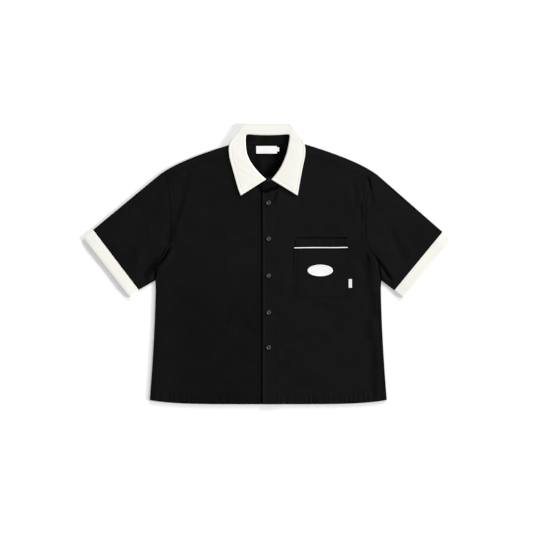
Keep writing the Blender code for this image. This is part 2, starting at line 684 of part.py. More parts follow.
def rounded_box(box, radius, steps=3):
    """Corners of a box as short arcs."""
    x0, x1, y0, y1 = box
    outline = []
    for corner, (cx, cy) in enumerate(
        ((x1 - radius, y0 + radius), (x1 - radius, y1 - radius), (x0 + radius, y1 - radius), (x0 + radius, y0 + radius))
    ):
        for step in range(steps + 1):
            angle = math.pi / 2 * (corner - 1 + step / steps)
            outline.append((cx + radius * math.cos(angle), cy + radius * math.sin(angle)))
    return outline


def oval(centre, size, count):
    angles = np.linspace(0.0, 2 * math.pi, count, endpoint=False)
    return [(centre[0] + size[0] / 2 * math.cos(a), centre[1] + size[1] / 2 * math.sin(a)) for a in angles]


FRONT_TOP = TOP_MID + FRONT_LIFT + WALL / 2       # upper face of the left front at the pocket
POCKET_MID = FRONT_TOP + GAP + WALL / 2
POCKET_TOP = POCKET_MID + WALL / 2


def piping():
    """A round cord with domed ends, lying between the band and the pocket."""
    x0, x1 = PIPING_SPAN
    shape = bmesh.new()
    bmesh.ops.create_uvsphere(shape, u_segments=10, v_segments=8, radius=PIPING_RADIUS)
    reach = (x1 - x0) / 2 - PIPING_RADIUS
    for vertex in shape.verts:
        x, y, z = vertex.co
        half = -reach if z < -1e-7 else reach if z > 1e-7 else 0.0
        vertex.co = (z + half, y, x)
    bmesh.ops.recalc_face_normals(shape, faces=shape.faces)
    mesh = bpy.data.meshes.new("pocket_piping")
    shape.to_mesh(mesh)
    shape.free()
    piece = placed("pocket_piping", mesh, WHITE_CLOTH)
    piece.location = ((x0 + x1) / 2, PIPING_Y, FRONT_TOP + GAP + PIPING_RADIUS)
    return piece


# Buttons: turned discs with a raised rim, a dished middle and four holes

BUTTON_THICK = 0.0024


def button(name, x, y, seat, radius, thick):
    profile = (
        (0.0, thick * 0.55),
        (radius * 0.50, thick * 0.60),
        (radius * 0.66, thick * 0.95),
        (radius * 0.84, thick),
        (radius, thick * 0.62),
        (radius * 0.94, thick * 0.20),
        (radius * 0.60, 0.0),
        (0.0, 0.0),
    )
    mesh = bpy.data.meshes.new(name)
    mesh.from_pydata([(r, 0.0, z) for r, z in profile], [(k, k + 1) for k in range(len(profile) - 1)], [])
    piece = placed(name, mesh, BUTTON_PLASTIC)
    piece.location = (x, y, seat + GAP)
    turned = piece.modifiers.new("turned", "SCREW")
    turned.steps = 16
    turned.render_steps = 16
    turned.use_merge_vertices = True
    turned.merge_threshold = 0.00002
    turned.use_normal_calculate = True
    holes = piece.modifiers.new("holes", "BOOLEAN")
    holes.operation = "DIFFERENCE"
    holes.object = hole_cutter(name, (x, y, seat), radius)
    return piece


cutters = bpy.data.collections.new("cutters")
bpy.context.scene.collection.children.link(cutters)


def hole_cutter(name, place, radius):
    """Four small posts through a button."""
    shape = bmesh.new()
    for x in (-1, 1):
        for y in (-1, 1):
            made = bmesh.ops.create_cone(
                shape, cap_ends=True, segments=6, radius1=radius * 0.13, radius2=radius * 0.13, depth=0.010
            )
            bmesh.ops.translate(shape, vec=(x * radius * 0.21, y * radius * 0.21, 0.0), verts=made["verts"])
    mesh = bpy.data.meshes.new(name + "_holes")
    shape.to_mesh(mesh)
    shape.free()
    cutter = bpy.data.objects.new(name + "_holes", mesh)
    cutter.hide_render = True
    cutter.display_type = "WIRE"
    cutter.parent = origin
    cutter.location = place
    cutters.objects.link(cutter)
    return cutter


back_panel()
yoke()
front_panel("right_front", -1, (-RIGHT_EDGE_X, -RIGHT_EDGE_X), right_front_mid)
front_panel("left_front", 1, (LEFT_EDGE_HEM_X, LEFT_EDGE_TOP_X), left_front_mid)
for which in (0, 1):
    sleeve(which)
    cuff(which)
collar_stand()
collar_leaf()
flat_piece("pocket", rounded_box(POCKET, 0.002), POCKET_MID, WALL, BLACK_CLOTH)
flat_piece("pocket_band", rounded_box(POCKET_BAND, 0.001), POCKET_MID, WALL, BLACK_CLOTH)
piping()
flat_piece("pocket_patch", oval(PATCH_CENTRE, PATCH_SIZE, 40), POCKET_TOP + GAP + WALL / 2, WALL, WHITE_CLOTH)
flat_piece("pocket_flag", rounded_box(FLAG, 0.0006), FRONT_TOP + GAP + TRIM_WALL / 2, TRIM_WALL, WHITE_CLOTH)
for label, box in (("neck_label", NECK_LABEL), ("size_tab", SIZE_TAB)):
    flat_piece(label, rounded_box(box, 0.0006), WALL + GAP + TRIM_WALL / 2, TRIM_WALL, WHITE_CLOTH)
for number, button_y in enumerate(BUTTON_YS, start=1):
    button(f"button_{number}", BUTTON_X, button_y, LAP_MID + WALL / 2, BUTTON_RADIUS, BUTTON_THICK)
button("button_stand", STAND_BUTTON[0], STAND_BUTTON[1], 0.0052, STAND_BUTTON[2], 0.0018)
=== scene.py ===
"""A black bowling shirt with a cream collar and cream sleeve bands, laid flat with its front up.

The shirt lies in the XY plane with its collar towards +Y, and +Z is up. The wearer's left is at +X. Sizes
are in metres, and tables in millimetres. Plan places are measured from the centre front line, half way
down the shirt.
"""

import math

import bpy
import numpy as np
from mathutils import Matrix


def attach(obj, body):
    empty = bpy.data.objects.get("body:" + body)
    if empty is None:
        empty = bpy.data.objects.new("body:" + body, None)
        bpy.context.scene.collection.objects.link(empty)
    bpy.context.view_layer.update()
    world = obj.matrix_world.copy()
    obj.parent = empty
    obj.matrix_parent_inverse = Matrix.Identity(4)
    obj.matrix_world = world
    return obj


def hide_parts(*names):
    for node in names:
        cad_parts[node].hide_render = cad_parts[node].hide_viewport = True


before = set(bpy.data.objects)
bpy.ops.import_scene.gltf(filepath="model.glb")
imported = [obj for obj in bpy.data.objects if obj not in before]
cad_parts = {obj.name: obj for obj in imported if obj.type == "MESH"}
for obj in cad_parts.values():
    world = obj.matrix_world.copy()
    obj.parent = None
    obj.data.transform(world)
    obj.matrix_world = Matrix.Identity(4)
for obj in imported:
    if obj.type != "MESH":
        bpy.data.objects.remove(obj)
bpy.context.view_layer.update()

# --- Back panel -----------------------------------------------------------------------------------
# One panel of black twill from the back yoke seam to the hem. It lies on the surface and wraps round both
# side folds to the felled side seams, which show just inside the shirt's sides.

MM = 0.001
CENTRE_X = 0.002            # the centre front line, from the middle of the whole outline
HALF_LENGTH = 0.350
CHEST_HALF = 0.281
HEM_FLARE = 0.016
HEM_RISE = 0.0105
ARMPIT_Y = -0.040
BACK_YOKE_Y = 0.200
PLY = 0.0007                # one layer of the body's cloth
FLOOR_MID = PLY / 2
FOLD = 0.00115              # radius of a side fold, to the middle of the cloth
EDGE_MID = FLOOR_MID + 2 * FOLD
FOLD_IN = FOLD + PLY / 2
SEAM = 0.0005
SIDE_SEAM_IN = 0.006
LEAST_MID = 0.00115         # lowest middle of the upper layer over the lower one
TINY = 1e-12                # keeps a length of nothing from being divided by

ARMHOLE_X = 0.2425
ARMHOLE_TOP_FLARE = 0.0155
ARMHOLE_SCYE = (0.068, -0.015)
ARMHOLE_TOP_Y = 0.2325

NECK_POINT = (0.098, 0.2975)
SHOULDER_TURN = (0.2311, 0.2568)
SLEEVE_HEAD = (0.27575, 0.220)
NECK_SEAM = (0.072, 0.120, 0.305)

#          side  upper corner        lower corner        outer upper corner  outer lower corner
SLEEVES = (
    ("right", -1, (0.43825, 0.0850), (0.32450, -0.0650), (0.46075, 0.0650), (0.34450, -0.0835)),
    ("left", 1, (0.43550, 0.0800), (0.31525, -0.0660), (0.45675, 0.0600), (0.33550, -0.0840)),
)

FRONT_LIFT = 0.0015         # how far the upper layer rises between the edges
LIFT_REACH = 0.030
RELIEF_REACH = 0.006        # how far inside the outline the creases and swells are whole

# Creases of the upper layer, in millimetres, each a soft trough or ridge along a bowed line
#    from x   from y    to x    to y    bow  half width  height
CREASES = (
    (-244.5, 42.0, -266.5, 5.5, 1.0, 2.6, -5.0),    # wearer's right armpit: the deep crease and its two ends
    (-258.0, 16.0, -278.0, -7.0, 0.5, 3.0, -5.6),
    (-279.5, -4.0, -284.5, -42.0, 0.0, 2.5, -6.6),
    (-240.0, 33.0, -268.0, -10.0, 1.0, 5.5, 1.5),
    (-270.5, -2.0, -273.0, -16.0, 0.0, 3.5, 1.0),
    (-256.0, 40.0, -273.2, 11.2, 0.8, 2.6, -1.5),
    (-263.2, 41.2, -279.5, 16.2, 0.8, 2.2, 0.3),
    (-277.5, 10.0, -312.0, -40.0, -2.0, 9.0, -3.6),
    (-273.8, 14.5, -296.5, -30.0, 0.0, 6.5, -3.2),
    (-293.0, -30.0, -300.0, -46.0, 0.0, 4.5, 0.6),
    (-236.0, 98.0, -254.0, 46.0, 1.0, 9.0, -2.2),
    (-198.0, 238.0, -213.0, 162.5, 1.5, 7.0, -1.0),  # from the yoke seam down beside the armhole
    (-209.5, 170.0, -231.5, 96.0, -1.0, 4.8, -1.2),
    (-199.5, 230.0, -219.5, 152.5, 1.5, 5.0, 0.35),
    (-217.0, 152.5, -235.8, 95.0, -1.0, 4.0, 0.3),
    (-200.8, 170.0, -219.5, 110.0, 0.0, 6.0, 0.3),
    (-338.2, 40.0, -360.8, -10.0, 2.0, 14.0, -1.9),  # right sleeve
    (-318.2, 35.0, -338.2, -27.5, 2.0, 9.0, 1.0),
    (-303.2, 90.0, -304.5, 65.0, 0.0, 6.0, -0.5),
    (-302.0, 5.0, -325.8, -20.0, 0.0, 5.0, -0.6),
    (-352.0, 118.0, -318.0, 96.0, 3.0, 9.0, 0.5),
    (249.2, 38.8, 273.0, 11.2, -1.0, 3.5, -0.6),    # wearer's left armpit
    (267.0, 18.0, 309.0, -43.0, 1.0, 4.1, -3.2),
    (278.0, 17.5, 318.0, -36.2, 1.0, 5.0, 0.35),
    (265.5, 6.2, 299.2, -48.8, 0.5, 4.0, 0.3),
    (246.7, 26.2, 252.2, 3.8, -0.5, 2.8, -1.1),
    (273.5, 2.5, 282.0, -40.0, 1.0, 2.2, -2.8),
    (277.2, 0.0, 285.0, -34.0, 0.5, 2.2, 0.3),
    (213.5, 208.0, 221.0, 135.0, 0.5, 6.5, -0.8),   # beside the left armhole
    (229.7, 155.0, 235.0, 110.0, 0.0, 4.0, -0.9),
    (250.0, 213.0, 256.5, 183.0, 1.0, 2.8, -2.2),
    (256.0, 190.0, 261.0, 146.0, 0.5, 4.5, -0.9),
    (246.2, 220.0, 252.8, 205.0, 1.0, 2.4, -1.0),
    (238.8, 200.0, 245.0, 140.0, 0.5, 4.0, 0.6),
    (223.0, 205.0, 231.7, 152.5, 0.5, 4.0, 0.35),
    (318.5, 66.0, 341.0, -8.0, 1.5, 9.5, -0.7),    # left sleeve
    (306.8, 95.0, 324.2, 35.0, 1.0, 7.0, -0.8),
    (338.0, 62.0, 356.0, 8.0, 1.5, 8.0, 0.7),
    (241.0, 25.0, 252.0, -78.0, 1.0, 13.0, -2.7),   # the long soft trough down the left side
    (254.0, -68.0, 263.0, -138.0, 0.0, 12.0, -2.6),
    (248.0, -132.0, 251.0, -198.0, 0.0, 12.0, -1.9),
    (260.0, -190.0, 262.0, -337.5, 0.0, 12.0, -2.4),
    (239.2, -15.0, 244.2, -165.0, 1.0, 8.0, 0.3),
    (22.5, 184.0, 10.5, 152.0, 0.5, 4.5, -1.2),     # the pull below the top button
    (28.0, 176.0, 19.0, 146.0, -0.5, 5.0, 0.5),
    (-28.0, -180.0, -75.0, -122.0, 4.0, 9.0, -0.55),  # faint drags on the fronts
    (-50.0, -118.0, -88.0, -92.0, 3.0, 7.0, 0.45),
    (-100.0, -100.0, -104.0, -160.0, 2.0, 9.0, -0.55),
    (-140.0, -60.0, -150.0, -120.0, -2.0, 12.0, 0.5),
    (26.0, -36.0, 70.0, -54.0, -2.0, 7.0, 0.45),
    (28.0, -132.0, 62.0, -112.0, 2.0, 7.0, 0.5),
    (30.0, -205.0, 58.0, -226.0, -2.0, 6.0, -0.5),
    (92.0, -165.0, 160.0, -182.0, 6.0, 12.0, 0.45),
    (28.0, 74.0, 62.0, 92.0, -2.0, 6.0, -0.55),
    (30.0, 60.0, 58.0, 70.0, 2.0, 6.0, 0.55),
    (96.0, -98.0, 150.0, -112.0, 4.0, 10.0, -0.65),
    (-24.8, 178.0, -25.6, 60.0, 0.0, 1.6, -0.15),   # the under front beside the lap
    (-25.8, 70.0, -26.0, -345.0, 0.0, 1.6, -0.1),
)


def smooth(t):
    """0 below 0, 1 above 1, and an even S between."""
    t = np.clip(t, 0.0, 1.0)
    return t * t * (3 - 2 * t)


def bell(t):
    """1 at 0 and falling evenly towards 0 on both sides: exp of minus the square."""
    return np.exp(-(t**2))


def graded(*runs):
    """Distances from 0 on, where each run is the place it ends at and the step it takes."""
    marks = [np.zeros(1)]
    start = 0.0
    for end, step in runs:
        marks.append(np.linspace(start, end, max(1, round((end - start) / step)) + 1)[1:])
        start = end
    return np.concatenate(marks)


def lifted(plan, height):
    """Plan points given a height each."""
    return np.concatenate([plan, np.broadcast_to(height, plan.shape[:-1])[..., None]], axis=-1)


def unit(vectors):
    """Vectors of the same directions and of length 1."""
    return vectors / np.maximum(np.linalg.norm(vectors, axis=-1, keepdims=True), TINY)


def raised(x, y, height):
    """Points from their places and heights, each spread to the shape that all three share."""
    return np.stack(np.broadcast_arrays(x, y, height), -1)


def side_x(y):
    """Half the body's width at each height below the armpits: a gentle flare to the hem."""
    t = np.clip((ARMPIT_Y - y) / (HALF_LENGTH + ARMPIT_Y), 0.0, 1.0)
    return CHEST_HALF + HEM_FLARE * t**1.6


def hem_y(x):
    """The hem: level, with its two corners a little higher."""
    return -HALF_LENGTH + HEM_RISE * np.abs(x / (CHEST_HALF + HEM_FLARE)) ** 5


def armhole_x(y):
    """Half the width at the armhole seam: near upright, flared at the shoulder, curving out to the armpit."""
    top = ARMHOLE_TOP_FLARE * np.clip((y - 0.100) / (ARMHOLE_TOP_Y - 0.100), 0.0, 1.0) ** 2
    scye = smooth((ARMHOLE_SCYE[0] - y) / (ARMHOLE_SCYE[0] - ARMHOLE_SCYE[1]))
    return ARMHOLE_X + top + (CHEST_HALF - ARMHOLE_X) * scye


def upper_edge(side):
    """The upper outline of one side: a curve over the shoulder, then straight to the sleeve's band."""
    t = np.linspace(0.0, 1.0, 40)[:, None]
    neck, turn, head = (np.array(p) for p in (NECK_POINT, SHOULDER_TURN, SLEEVE_HEAD))
    curve = (1 - t) ** 2 * neck + 2 * t * (1 - t) * turn + t**2 * head
    inner = neck - (turn - neck) * (neck[0] - 0.040) / (turn[0] - neck[0])
    return np.vstack([inner, curve, SLEEVES[side][2]])


def neck_ring(theta, ellipse, more=0.0):
    """A point of the neck's front half at an angle from the centre front, a right angle at the side."""
    width, depth, centre_y = ellipse
    return np.stack([(width + more) * np.sin(theta), centre_y - (depth + more) * np.cos(theta)], axis=-1)


def outline(side):
    """Half the black cloth's outline from the hem's middle to the collar, then the neck seam."""
    x = np.linspace(0.0, side_x(-HALF_LENGTH), 16)
    y = np.linspace(hem_y(x[-1]), ARMPIT_Y, 10)
    _, _, _, lower, outer_upper, outer_lower = SLEEVES[side]
    hem_and_side = [np.stack([x, hem_y(x)], 1), np.stack([side_x(y), y], 1)]
    neck = neck_ring(np.linspace(1.5, 0.0, 24), NECK_SEAM)
    return np.vstack([*hem_and_side, lower, outer_lower, outer_upper, upper_edge(side)[::-1], neck])


def edge_distance(x, y, side):
    """How far points of one half lie inside the outline and neck seam: the least distance to its segments."""
    line = outline(side)
    nearest = np.full(np.shape(x), 1.0)
    for a, b in zip(line[:-1], line[1:]):
        run = b - a
        t = ((x - a[0]) * run[0] + (y - a[1]) * run[1]) / max(float(run @ run), TINY)
        t = np.clip(t, 0.0, 1.0)
        nearest = np.minimum(nearest, np.hypot(x - a[0] - t * run[0], y - a[1] - t * run[1]))
    return nearest


def inside(x, y):
    """How far signed places lie inside the outline."""
    return np.where(x > 0, edge_distance(np.abs(x), y, 1), edge_distance(np.abs(x), y, 0))


def crease_bells(x, y):
    """Each crease's height, half width and bell at the places, from 0 to 1: an S at either end of its bowed
    line, and wider on one side of it, the left one for a trough run downwards and the right for a ridge."""
    for x0, y0, x1, y1, bow, half, height in CREASES:
        dx, dy = (x1 - x0) * MM, (y1 - y0) * MM
        length = math.hypot(dx, dy)
        t = ((x - x0 * MM) * dx + (y - y0 * MM) * dy) / length**2
        across = ((x - x0 * MM) * dy - (y - y0 * MM) * dx) / length
        across = across + bow * MM * 4 * np.clip(t, 0, 1) * (1 - np.clip(t, 0, 1))
        ends = smooth((t + 0.12) / 0.35) * smooth((1.12 - t) / 0.35)
        wide = half * MM * np.where((across > 0) == (height < 0), 1.35, 0.85)
        yield height * MM, half * MM, ends * bell(across / wide)


def creased(x, y):
    """The sum of the creases."""
    return sum(height * share for height, _, share in crease_bells(x, y))


# Long waves of the pressed cloth: direction in radians, length, height in millimetres, shift
SWELLS = (
    (0.3, 0.21, 0.45, 0.4), (1.9, 0.135, 0.38, 2.0), (1.2, 0.088, 0.20, 4.1),
    (2.6, 0.061, 0.13, 0.9), (0.8, 0.041, 0.07, 5.2),
)


def swells(x, y):
    """The slow rise and fall of pressed cloth: five long waves in different directions."""
    total = np.zeros(np.shape(x))
    for turn, length, size, shift in SWELLS:
        total += size * MM * np.sin(2 * math.pi * (x * math.cos(turn) + y * math.sin(turn)) / length + shift)
    return total


def relief(x, y):
    """Creases and swells, gone at the outline."""
    return smooth(inside(x, y) / RELIEF_REACH) * (creased(x, y) + swells(x, y))


def level(x, y):
    """Middle of the upper layer without its creases: low at the outline and raised inside it."""
    return EDGE_MID + FRONT_LIFT * smooth(inside(x, y) / LIFT_REACH)


def kept_up(height):
    """Heights held off the layer below, with a soft turn at the least height."""
    soft = 0.0004
    return LEAST_MID + soft * np.logaddexp(0.0, (height - LEAST_MID) / soft)


def lay(x, y):
    """Middle of the upper layer."""
    return kept_up(level(x, y) + relief(x, y))


def rim(x, y):
    """Painted shade: how much darker the black cloth is drawn where it turns away at its outline."""
    return 0.44 * bell(np.maximum(inside(x, y) - 0.0004, 0.0) / 0.0022)


def fold_arc(centre, out, top, bottom, steps):
    """Points round a fold from the upper layer to the lower one, for each point of a line: half circles
    without their two ends."""
    angle = np.linspace(0.0, math.pi, steps + 1)[1:-1]
    radius = (top - bottom) / 2
    plan = centre[None] + np.sin(angle)[:, None, None] * radius[None, :, None] * out[None]
    return lifted(plan, ((top + bottom) / 2)[None] + np.cos(angle)[:, None] * radius[None])


def quad_mesh(name, points, faces, uv):
    """A mesh of quads from its points, moved to where the shirt's centre front lies."""
    points = points + (CENTRE_X, 0.0, 0.0)
    mesh = bpy.data.meshes.new(name)
    mesh.vertices.add(len(points))
    mesh.vertices.foreach_set("co", points.astype(np.float32).ravel())
    mesh.loops.add(faces.size)
    mesh.loops.foreach_set("vertex_index", faces.astype(np.int32).ravel())
    mesh.polygons.add(len(faces))
    mesh.polygons.foreach_set("loop_start", np.arange(0, faces.size, 4, dtype=np.int32))
    mesh.update(calc_edges=True)
    layer = mesh.uv_layers.new(name="cut")
    layer.data.foreach_set("uv", uv.astype(np.float32).ravel())
    return mesh


RIM_ROUND = 0.3             # how far a cut edge bulges, as a share of the wall


def closed(name, outer, inner, quads, uv):
    """A closed mesh between two skins of the same points: the outer quads, the inner ones turned over, and
    a rounded rim of two strips along every edge that only one quad has."""
    used, flat = np.unique(quads, return_inverse=True)
    quads = flat.reshape(-1, 4)
    outer, inner = outer[used], inner[used]
    count = len(used)
    starts, ends = quads.ravel(), np.roll(quads, -1, axis=1).ravel()
    uv_starts, uv_ends = uv.reshape(-1, 2), np.roll(uv, -1, axis=1).reshape(-1, 2)
    free = ~np.isin(starts * count + ends, ends * count + starts)
    starts, ends, uv_starts, uv_ends = starts[free], ends[free], uv_starts[free], uv_ends[free]
    wall = outer - inner
    run = outer[ends] - outer[starts]
    away = unit(np.cross(run, wall[starts] + wall[ends]))
    push = np.zeros((count, 3))
    np.add.at(push, starts, away)
    np.add.at(push, ends, away)
    push = unit(push)
    rim = np.unique(starts)
    place = np.zeros(count, int)
    place[rim] = 2 * count + np.arange(len(rim))
    thick = np.linalg.norm(wall[rim], axis=1, keepdims=True)
    middle = (outer[rim] + inner[rim]) / 2 + push[rim] * RIM_ROUND * thick
    near = np.stack([ends, starts, place[starts], place[ends]], 1)
    far = np.stack([place[ends], place[starts], starts + count, ends + count], 1)
    rim_uv = np.stack([uv_ends, uv_starts, uv_starts, uv_ends], 1)
    faces = np.concatenate([quads, quads[:, ::-1] + count, near, far])
    mapped = np.concatenate([uv, uv[:, ::-1], rim_uv, rim_uv])
    return quad_mesh(name, np.concatenate([outer, inner, middle]), faces, mapped)


def grid_quads(points, ring):
    """The quads of a grid whose four corners are all there, with their rows and columns."""
    rows, columns = points.shape[:2]
    around = np.concatenate([points, points[:1]]) if ring else points
    there = ~np.isnan(around[..., 0])
    r, c = np.nonzero(there[:-1, :-1] & there[:-1, 1:] & there[1:, 1:] & there[1:, :-1])
    row = np.stack([r, r, r + 1, r + 1], 1)
    column = np.stack([c, c + 1, c + 1, c], 1)
    return (row % rows) * columns + column, row, column


def shell(name, points, wall, uv=None, ring=False):
    """A wall about a grid of middle points: each point is moved half the wall to either side along the mean
    normal of the quads round it. A grid place with no point is left out, and a ring closes."""
    quads, row, column = grid_quads(points, ring)
    flat = points.reshape(-1, 3)
    corner = flat[quads]
    facing = np.cross(corner[:, 2] - corner[:, 0], corner[:, 3] - corner[:, 1])
    normal = np.zeros_like(flat)
    for k in range(4):
        np.add.at(normal, quads[:, k], facing)
    half = unit(normal) * np.broadcast_to(wall, points.shape[:2]).reshape(-1, 1) / 2
    uv = points[..., :2] if uv is None else uv
    uv = np.concatenate([uv, uv[:1]]) if ring else uv
    return closed(name, flat + half, flat - half, quads, uv[row, column])


SHARP = math.radians(56)


def piece(mesh, cloth, *replaced):
    """A piece of the shirt with its mesh's name, at the origin and on the shirt's one body, smooth but for
    its sharp edges. Its cloth is a material and the slot that the material belongs to; the slot is not used."""
    material, slot = cloth
    made = bpy.data.objects.new(mesh.name, mesh)
    bpy.context.scene.collection.objects.link(made)
    mesh.materials.append(material)
    mesh.shade_smooth()
    mesh.set_sharp_from_angle(angle=SHARP)
    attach(made, "root")
    if replaced:
        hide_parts(*replaced)
    return made


def deepened(made, share):
    """Store how much darker each point of a piece is drawn than the rest of its cloth, a function of its plan
    place that counts on the faces that look up: painted shade, with painted highlights below 0 and the
    cloth's tone where the function holds it."""
    place = np.empty(len(made.data.vertices) * 3, np.float32)
    facing = np.empty_like(place)
    made.data.vertices.foreach_get("co", place)
    made.data.vertices.foreach_get("normal", facing)
    place = place.reshape(-1, 3).astype(float)
    up = np.clip(1 + 2 * facing.reshape(-1, 3)[:, 2], 0.0, 1.0)
    values = share(place[:, 0] - CENTRE_X, place[:, 1]) * up
    made.data.attributes.new("deep", "FLOAT", "POINT").data.foreach_set("value", values.astype(np.float32))


def finish(name, colour, roughness, specular):
    """A material with its constant settings, its shader, and ways to add a node joined to others, to plug an
    output into the shader, and to multiply the shader's colour by a factor that varies."""
    made = bpy.data.materials.new(name)
    made.use_nodes = True
    tree = made.node_tree
    shader = tree.nodes["Principled BSDF"]
    shader.inputs["Base Color"].default_value = (*colour, 1.0)
    shader.inputs["Roughness"].default_value = roughness
    shader.inputs["Specular IOR Level"].default_value = specular
    made.diffuse_color = (*colour, 1.0)

    def add(kind, **inputs):
        node = tree.nodes.new("ShaderNode" + kind)
        for key, value in inputs.items():
            socket = node.inputs[int(key[2:]) if key.startswith("in") else key.replace("_", " ")]
            if isinstance(value, bpy.types.NodeSocket):
                tree.links.new(value, socket)
            else:
                socket.default_value = value
        return node

    def plug(output, socket):
        tree.links.new(output, shader.inputs[socket])

    def tint(factor):
        node = add("VectorMath", in0=tuple(colour), in1=factor)
        node.operation = "MULTIPLY"
        plug(node.outputs[0], "Base Color")

    return made, shader, add, plug, tint


def maths(add, operation, first, second):
    """The output of a Math node on two values or outputs."""
    node = add("Math", in0=first, in1=second)
    node.operation = operation
    return node.outputs[0]


WAVE = 0.31416              # how far apart a wave texture of scale 1 repeats


def twill(name, colour, roughness, specular, sheen, rib=0.00075, depth=0.00010, mottle=0.10, handled=0.0009):
    """Twill cloth on its own cut: slanting ribs from a band wave, yarns across them from a finer one, fuzz
    from noise, and a colour that varies a little in soft patches and from yarn to yarn. Its colour is also
    darkened by the piece's painted shade in the deep attribute, and lightened where that is below 0."""
    made, shader, add, plug, tint = finish(name, colour, roughness, specular)
    shader.inputs["Sheen Weight"].default_value = sheen
    shader.inputs["Sheen Roughness"].default_value = 0.45
    cut = add("UVMap").outputs["UV"]
    cut.node.uv_map = "cut"
    slanted = add("Mapping", Vector=cut, Rotation=(0.0, 0.0, math.radians(-63)))
    ribs = add("TexWave", Vector=slanted.outputs[0], Scale=WAVE / rib, Distortion=0.35, Detail=1.0)
    across = add("Mapping", Vector=cut, Rotation=(0.0, 0.0, math.radians(27)))
    yarns = add("TexWave", Vector=across.outputs[0], Scale=WAVE / (rib * 0.7), Distortion=0.5, Detail=1.0)
    fuzz = add("TexNoise", Vector=cut, Scale=2600.0, Detail=2.0)
    slub = add("TexNoise", Vector=add("Mapping", Vector=cut, Scale=(900.0, 60.0, 1.0)).outputs[0], Scale=1.0)
    patches = add("TexNoise", Vector=cut, Scale=26.0, Detail=3.0, Roughness=0.55)
    weave = maths(add, "ADD", ribs.outputs["Fac"], maths(add, "MULTIPLY", yarns.outputs["Fac"], 0.4))
    weave = maths(add, "ADD", weave, maths(add, "MULTIPLY", fuzz.outputs["Fac"], 0.6))
    bump = add("Bump", Strength=0.5, Distance=depth, Height=weave)
    rumple = add("TexNoise", Vector=cut, Scale=85.0, Detail=2.0)
    soft = add("Bump", Strength=0.25, Distance=handled, Height=rumple.outputs["Fac"], Normal=bump.outputs[0])
    plug(soft.outputs[0], "Normal")
    tone = maths(add, "ADD", patches.outputs["Fac"], maths(add, "MULTIPLY", slub.outputs["Fac"], 0.5))
    tone = maths(add, "ADD", tone, maths(add, "MULTIPLY", ribs.outputs["Fac"], 0.5))
    spread = add("MapRange", Value=tone, From_Min=0.55, From_Max=1.45, To_Min=1 - mottle, To_Max=1 + mottle)
    # The deep attribute: painted shade, and below 0 painted highlight, taken off the colour.
    deep = add("Attribute")
    deep.attribute_name = "deep"
    tone = maths(add, "MULTIPLY", spread.outputs[0], maths(add, "SUBTRACT", 1.0, deep.outputs["Fac"]))
    tint(tone)
    rough = add("MapRange", Value=patches.outputs["Fac"], To_Min=roughness - 0.05, To_Max=roughness + 0.05)
    plug(rough.outputs[0], "Roughness")
    return made


BLACK_TWILL = (twill("black_twill", (0.00617, 0.00625, 0.00668), 0.88, 0.03, 0.0, mottle=0.20), "black_twill")

BODY_TOP_Y = ARMPIT_Y - 0.0010
SIDE_MARKS = graded((0.030, 0.0015), (0.285, 0.0030), (HALF_LENGTH + BODY_TOP_Y - HEM_RISE, 0.0012))
SIDE_SHARE = SIDE_MARKS / SIDE_MARKS[-1]


def side_fold():
    """The middle line of the side fold from the hem to the armpit, at +X, and how far the wrap reaches in."""
    y = hem_y(side_x(-HALF_LENGTH)) * (1 - SIDE_SHARE) + BODY_TOP_Y * SIDE_SHARE
    wrap = (SIDE_SEAM_IN - FOLD_IN) * smooth((1 - SIDE_SHARE) * 4) + 0.0005
    return np.stack([side_x(y) - FOLD_IN, y], 1), wrap


def back_points():
    """The under layer in rows from the hem to the yoke seam, and at each side an arc round the fold and a
    flap on the upper layer that ends at the side seam."""
    fold, wrap = side_fold()
    scye_y = np.linspace(ARMPIT_Y + 0.001, BACK_YOKE_Y, 40)
    scye = np.stack([armhole_x(scye_y) - SEAM / 2, scye_y], 1)
    edge = np.vstack([fold, scye])
    share = np.linspace(-1.0, 1.0, 33)
    x = edge[:, :1] * share
    y = edge[:, 1:] + (hem_y(x) - edge[:, 1:]) * np.exp(-np.arange(len(edge)) / 12.0)[:, None]
    flat = raised(x, y, FLOOR_MID)
    rows = len(fold)
    centre = np.full(rows, EDGE_MID)
    arc = fold_arc(fold, np.tile([1.0, 0.0], (rows, 1)), centre, np.full(rows, FLOOR_MID), 8)
    reach = np.array([1.0, 0.88, 0.66, 0.33, 0.0])[:, None]
    flap_x = fold[:, 0] - wrap * reach
    flaps = []
    for sign in (-1, 1):
        height = lay(flap_x * sign, np.broadcast_to(fold[:, 1], flap_x.shape))
        rounded = 0.00034 * smooth((1.0 - reach) / 0.35 + 0.45) * smooth(reach * 2)
        upper = raised(flap_x, fold[:, 1], height + rounded)
        flap = np.concatenate([upper, arc]).transpose(1, 0, 2) * (sign, 1, 1)
        absent = np.full((len(scye), flap.shape[1], 3), np.nan)
        flaps.append(np.concatenate([flap, absent]))
    return np.concatenate([flaps[0], flat, flaps[1][:, ::-1]], axis=1)


back = piece(shell("back_panel", back_points(), PLY), BLACK_TWILL, "back")
# Painted shade along the back panel's outline.
deepened(back, rim)

# --- Back yoke ------------------------------------------------------------------------------------
# A doubled yoke of black twill. Its back lies on the surface and shows inside the neck, and it wraps over
# both shoulders to the front yoke seams, where its folded edge is felled down on the fronts.

YOKE_WALL = 0.0012          # two layers
YOKE_MID = YOKE_WALL / 2
YOKE_FOLD = 0.0009
YOKE_FOLD_IN = YOKE_FOLD + YOKE_WALL / 2
YOKE_TOP = YOKE_MID + 2 * YOKE_FOLD
FRONT_YOKE_DROP = 0.0245
SEAM_END_Y = 0.2125
BACK_NECK_DIP = 0.007


def along(points):
    """How far along a line each of its points lies."""
    step = np.linalg.norm(np.diff(points, axis=0), axis=1)
    return np.concatenate([[0.0], np.cumsum(step)])


def read(at, run, table):
    """A table's columns at places between its rows, which lie at the places of its run."""
    return np.stack([np.interp(at, run, column) for column in table.T], -1)


def picked(points, at):
    """The points of a line at given distances along it."""
    return read(at, along(points), points)


